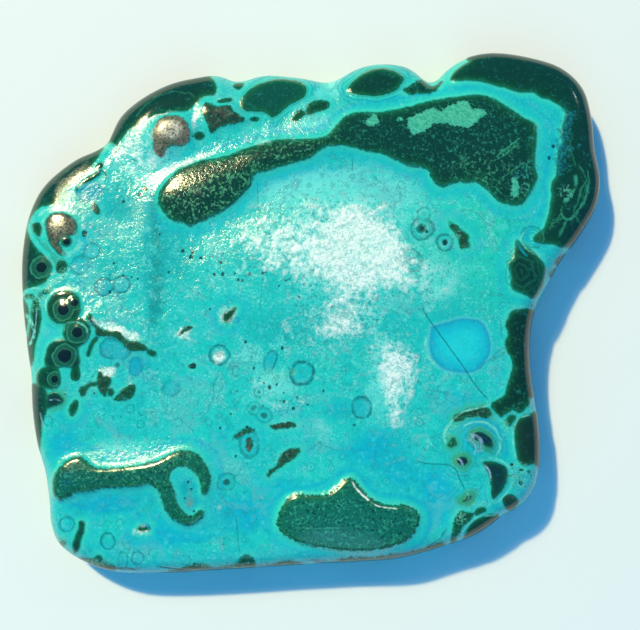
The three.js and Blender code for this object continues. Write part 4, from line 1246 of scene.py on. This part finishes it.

# Crusts of small seeds, the smoky haze beside the long strip, and the dusty brown bloom: brown
# grains on the dark windows, turning to a painted highlight where warm sun glare would fall.
seeding = total(grit, product(ragged, 0.8), product(fine, 0.4))
in_seeds = between(total(measured("stain_seeds"), product(mottle, 0.8)), 0.35, 0.65)
colour = mixed(product(in_seeds, between(seeding, -0.02, 0.06), 0.6), colour,
               paint(112, 218, 186))
colour = mixed(product(in_seeds, between(seeding, 0.08, 0.18), 0.8), colour, paint(12, 84, 72))
off_windows = calc("SUBTRACT", 1.0, edge)
over_strip = product(between(total(measured("stain_haze"), product(mottle, 3.0),
                                   product(grit, 2)), 0.7, 1.5), off_windows)
colour = mixed(product(over_strip, 0.75), colour, paint(20, 124, 134))
dust_and_glare = calc("MAXIMUM", measured("stain_dust_and_glare"), product(measured("window_brown"), edge, 0.8))
dust_and_glare_share = product(between(total(dust_and_glare, product(mottle, 1.2)), 0.3, 0.9),
                between(total(fine, grit, product(ragged, 0.5)), -0.34, 0.24))
# Taupe grains, turning pale where the dust stain is strongest: a painted highlight of warm glare.
dust_and_glare_tint = mixed(between(dust_and_glare, 0.9, 1.9), paint(146, 141, 118), paint(238, 230, 208))
colour = mixed(product(dust_and_glare_share, 0.75), colour, dust_and_glare_tint)

# Threads, veins, cracks and pits. The glint threads are a painted highlight, a bright glint
# on an edge.
thread_tints = {"azure": (10, 170, 198), "dark": (10, 70, 62), "jade": (64, 172, 128),
                "pale": (124, 226, 208), "lilac_sky_reflection": (150, 184, 214), "painted_glint": (236, 246, 240)}
for name, tint in thread_tints.items():
    thread_gap = calc("ABSOLUTE", total(measured("thread_side_" + name), product(wavy, 1.0),
                                        product(ragged, 0.6)))
    threaded = product(measured("thread_force_" + name), between(thread_gap, 0.2, 0.48, 1, 0),
                       between(total(mottle, product(ragged, 0.5)), -0.15, 0.1, 0.15, 1))
    colour = mixed(threaded, colour, paint(*tint))
vein_gap = calc("ABSOLUTE", total(measured("vein_side"), product(wavy, 2.8), product(ragged, 1.2)))
vein = product(measured("vein_force"), between(vein_gap, 0.1, 0.45, 1, 0))
colour = mixed(product(vein, 0.6), colour, paint(50, 150, 112))
crack_gap = calc("ABSOLUTE", total(measured("crack_side"), product(ragged, 0.5)))
crack = product(measured("crack_force"), between(crack_gap, 0.06, 0.3, 1, 0))
colour = mixed(product(crack, 0.75), colour, paint(12, 104, 100))
pit = between(total(measured("pit_depth"), product(ragged, 0.8)), 0.0, 0.25)
colour = mixed(product(pit, 0.9), colour, paint(6, 58, 54))

# Painted sun glare: a white painted highlight on the crests, with painted shade in the darker
# hollows between them. Being paint it stays where it is when the light or the view changes.
painted_glare = total(measured("stain_painted_glare"), product(mottle, 1.6), product(curd, 1.6))
glare_zone = product(between(painted_glare, 0.35, 1.3), off_windows)
sparkle = between(total(fine, product(ragged, 1.2), product(mottle, 0.5), product(curd, 0.8)),
                  -0.14, 0.16)
# Painted shade: darker teal in the hollows between the painted glare crests.
painted_shade_between_glare = product(between(painted_glare, -0.1, 0.5),
                 between(total(fine, product(ragged, 1.4), product(curd, 0.6)), -0.24, -0.06, 1, 0),
                 off_windows)
colour = mixed(product(painted_shade_between_glare, 0.55), colour, paint(44, 134, 132))
# Painted highlight: near-white sun glare laid over the glare zone.
glare_paint = product(glare_zone, total(0.45, product(sparkle, 0.55)))
colour = mixed(product(glare_paint, 0.95), colour, paint(240, 252, 247))

shader = nodes.new("ShaderNodeBsdfPrincipled")
links.new(colour, shader.inputs["Base Color"])
roughness = total(0.15, product(glare_zone, 0.06), product(grain_share, edge, 0.05),
                  product(edge, -0.04), product(dust_and_glare_share, 0.16), product(measured("sawn"), 0.5))
links.new(roughness, shader.inputs["Roughness"])
shader.inputs["IOR"].default_value = 1.54

# Relief too fine for the mesh, in mm.
stony = product(off_windows, between(measured("stain_deep"), 0.3, 1.0, 1, 0.35))
relief = total(
    product(ragged, total(0.03, product(stony, 0.09), product(glare_zone, 0.07),
                          product(gritty, edge, 0.09), product(dust_and_glare_share, 0.05))),
    product(fine, total(0.008, product(stony, 0.02), product(glare_zone, 0.04),
                        product(gritty, edge, 0.03), product(dust_and_glare_share, 0.025))),
    product(curd, total(0.04, product(stony, 0.22), product(glare_zone, 0.2))),
    product(grit, grain_share, edge, 0.03),
    product(bead_inside, 0.008), product(bead_line, -0.008), product(line, -0.03))
bump = nodes.new("ShaderNodeBump")
bump.inputs["Strength"].default_value = 1.0
bump.inputs["Distance"].default_value = MM
links.new(relief, bump.inputs["Height"])
links.new(bump.outputs[0], shader.inputs["Normal"])
surface = nodes.new("ShaderNodeOutputMaterial")
links.new(shader.outputs[0], surface.inputs["Surface"])
stone.data.materials.clear()
stone.data.materials.append(polish)

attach(stone, "root")
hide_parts("chrysocolla_slab")

# ---------------------------------------------------------------------------------------------
# The table. A plain pale matt sheet, wide enough to run out of sight, that the stone lies on.

bpy.ops.mesh.primitive_plane_add(size=4, location=(0, 0, -0.05 * MM))
table_top = bpy.context.object
table_top.name = "pale_table"
paper = bpy.data.materials.new("pale_paper")
paper.use_nodes = True
paper_shader = paper.node_tree.nodes["Principled BSDF"]
paper_shader.inputs["Base Color"].default_value = paint(236, 240, 240)
paper_shader.inputs["Roughness"].default_value = 0.9
paper_shader.inputs["Specular IOR Level"].default_value = 0.2
table_top.data.materials.append(paper)

# ---------------------------------------------------------------------------------------------
# The lamps. One soft lamp stands high at the back left with a broad veil round it. A faint panel
# stands at the side and another in front, and a pale blue room fills the shadows.


def soft_lamp(name, place, size, energy, colour):
    """A round lamp that faces the stone."""
    data = bpy.data.lights.new(name, "AREA")
    data.shape = "DISK"
    data.size = size
    data.energy = energy
    data.color = colour
    holder = bpy.data.objects.new(name, data)
    holder.location = place
    holder.rotation_euler = holder.location.to_track_quat("Z", "Y").to_euler()
    bpy.context.scene.collection.objects.link(holder)


LAMP_DISTANCE = 4.0
LAMP_HEIGHT = math.radians(46.5)
LAMP_SIDE = math.radians(131.4)
lamp_place = (LAMP_DISTANCE * math.cos(LAMP_HEIGHT) * math.cos(LAMP_SIDE),
              LAMP_DISTANCE * math.cos(LAMP_HEIGHT) * math.sin(LAMP_SIDE),
              LAMP_DISTANCE * math.sin(LAMP_HEIGHT))
soft_lamp("soft_lamp", lamp_place, 0.19, 150, (1.0, 0.82, 0.4))
soft_lamp("soft_lamp_veil", lamp_place, 0.8, 40, (1.0, 0.88, 0.52))
soft_lamp("side_panel", (1.0, 0.75, 0.85), 0.1, 0.5, (0.9, 0.94, 1.0))
soft_lamp("front_panel", (0.0, -0.42, 0.4), 0.3, 0.36, (0.2, 0.8, 1.0))
room = bpy.data.worlds.new("pale_room")
room.use_nodes = True
room.node_tree.nodes["Background"].inputs["Color"].default_value = (0.065, 0.43, 0.95, 1)
room.node_tree.nodes["Background"].inputs["Strength"].default_value = 0.63
bpy.context.scene.world = room

# ---------------------------------------------------------------------------------------------
# The camera. It hangs almost straight above the stone, tipped a little towards the back.

TIP = math.radians(6.74)
CAMERA_REACH = 294.1 * MM
LOOKED_AT = (2.5 * MM, -2.0 * MM)
camera_data = bpy.data.cameras.new("camera")
camera_data.sensor_width = 36
camera_data.lens = 50.6
camera_data.clip_start = 0.01
camera = bpy.data.objects.new("camera", camera_data)
camera.location = (
    LOOKED_AT[0], LOOKED_AT[1] - CAMERA_REACH * math.sin(TIP), CAMERA_REACH * math.cos(TIP))
camera.rotation_euler = (TIP, 0, 0)
bpy.context.scene.collection.objects.link(camera)
bpy.context.scene.camera = camera
bpy.context.scene.view_settings.view_transform = "Standard"
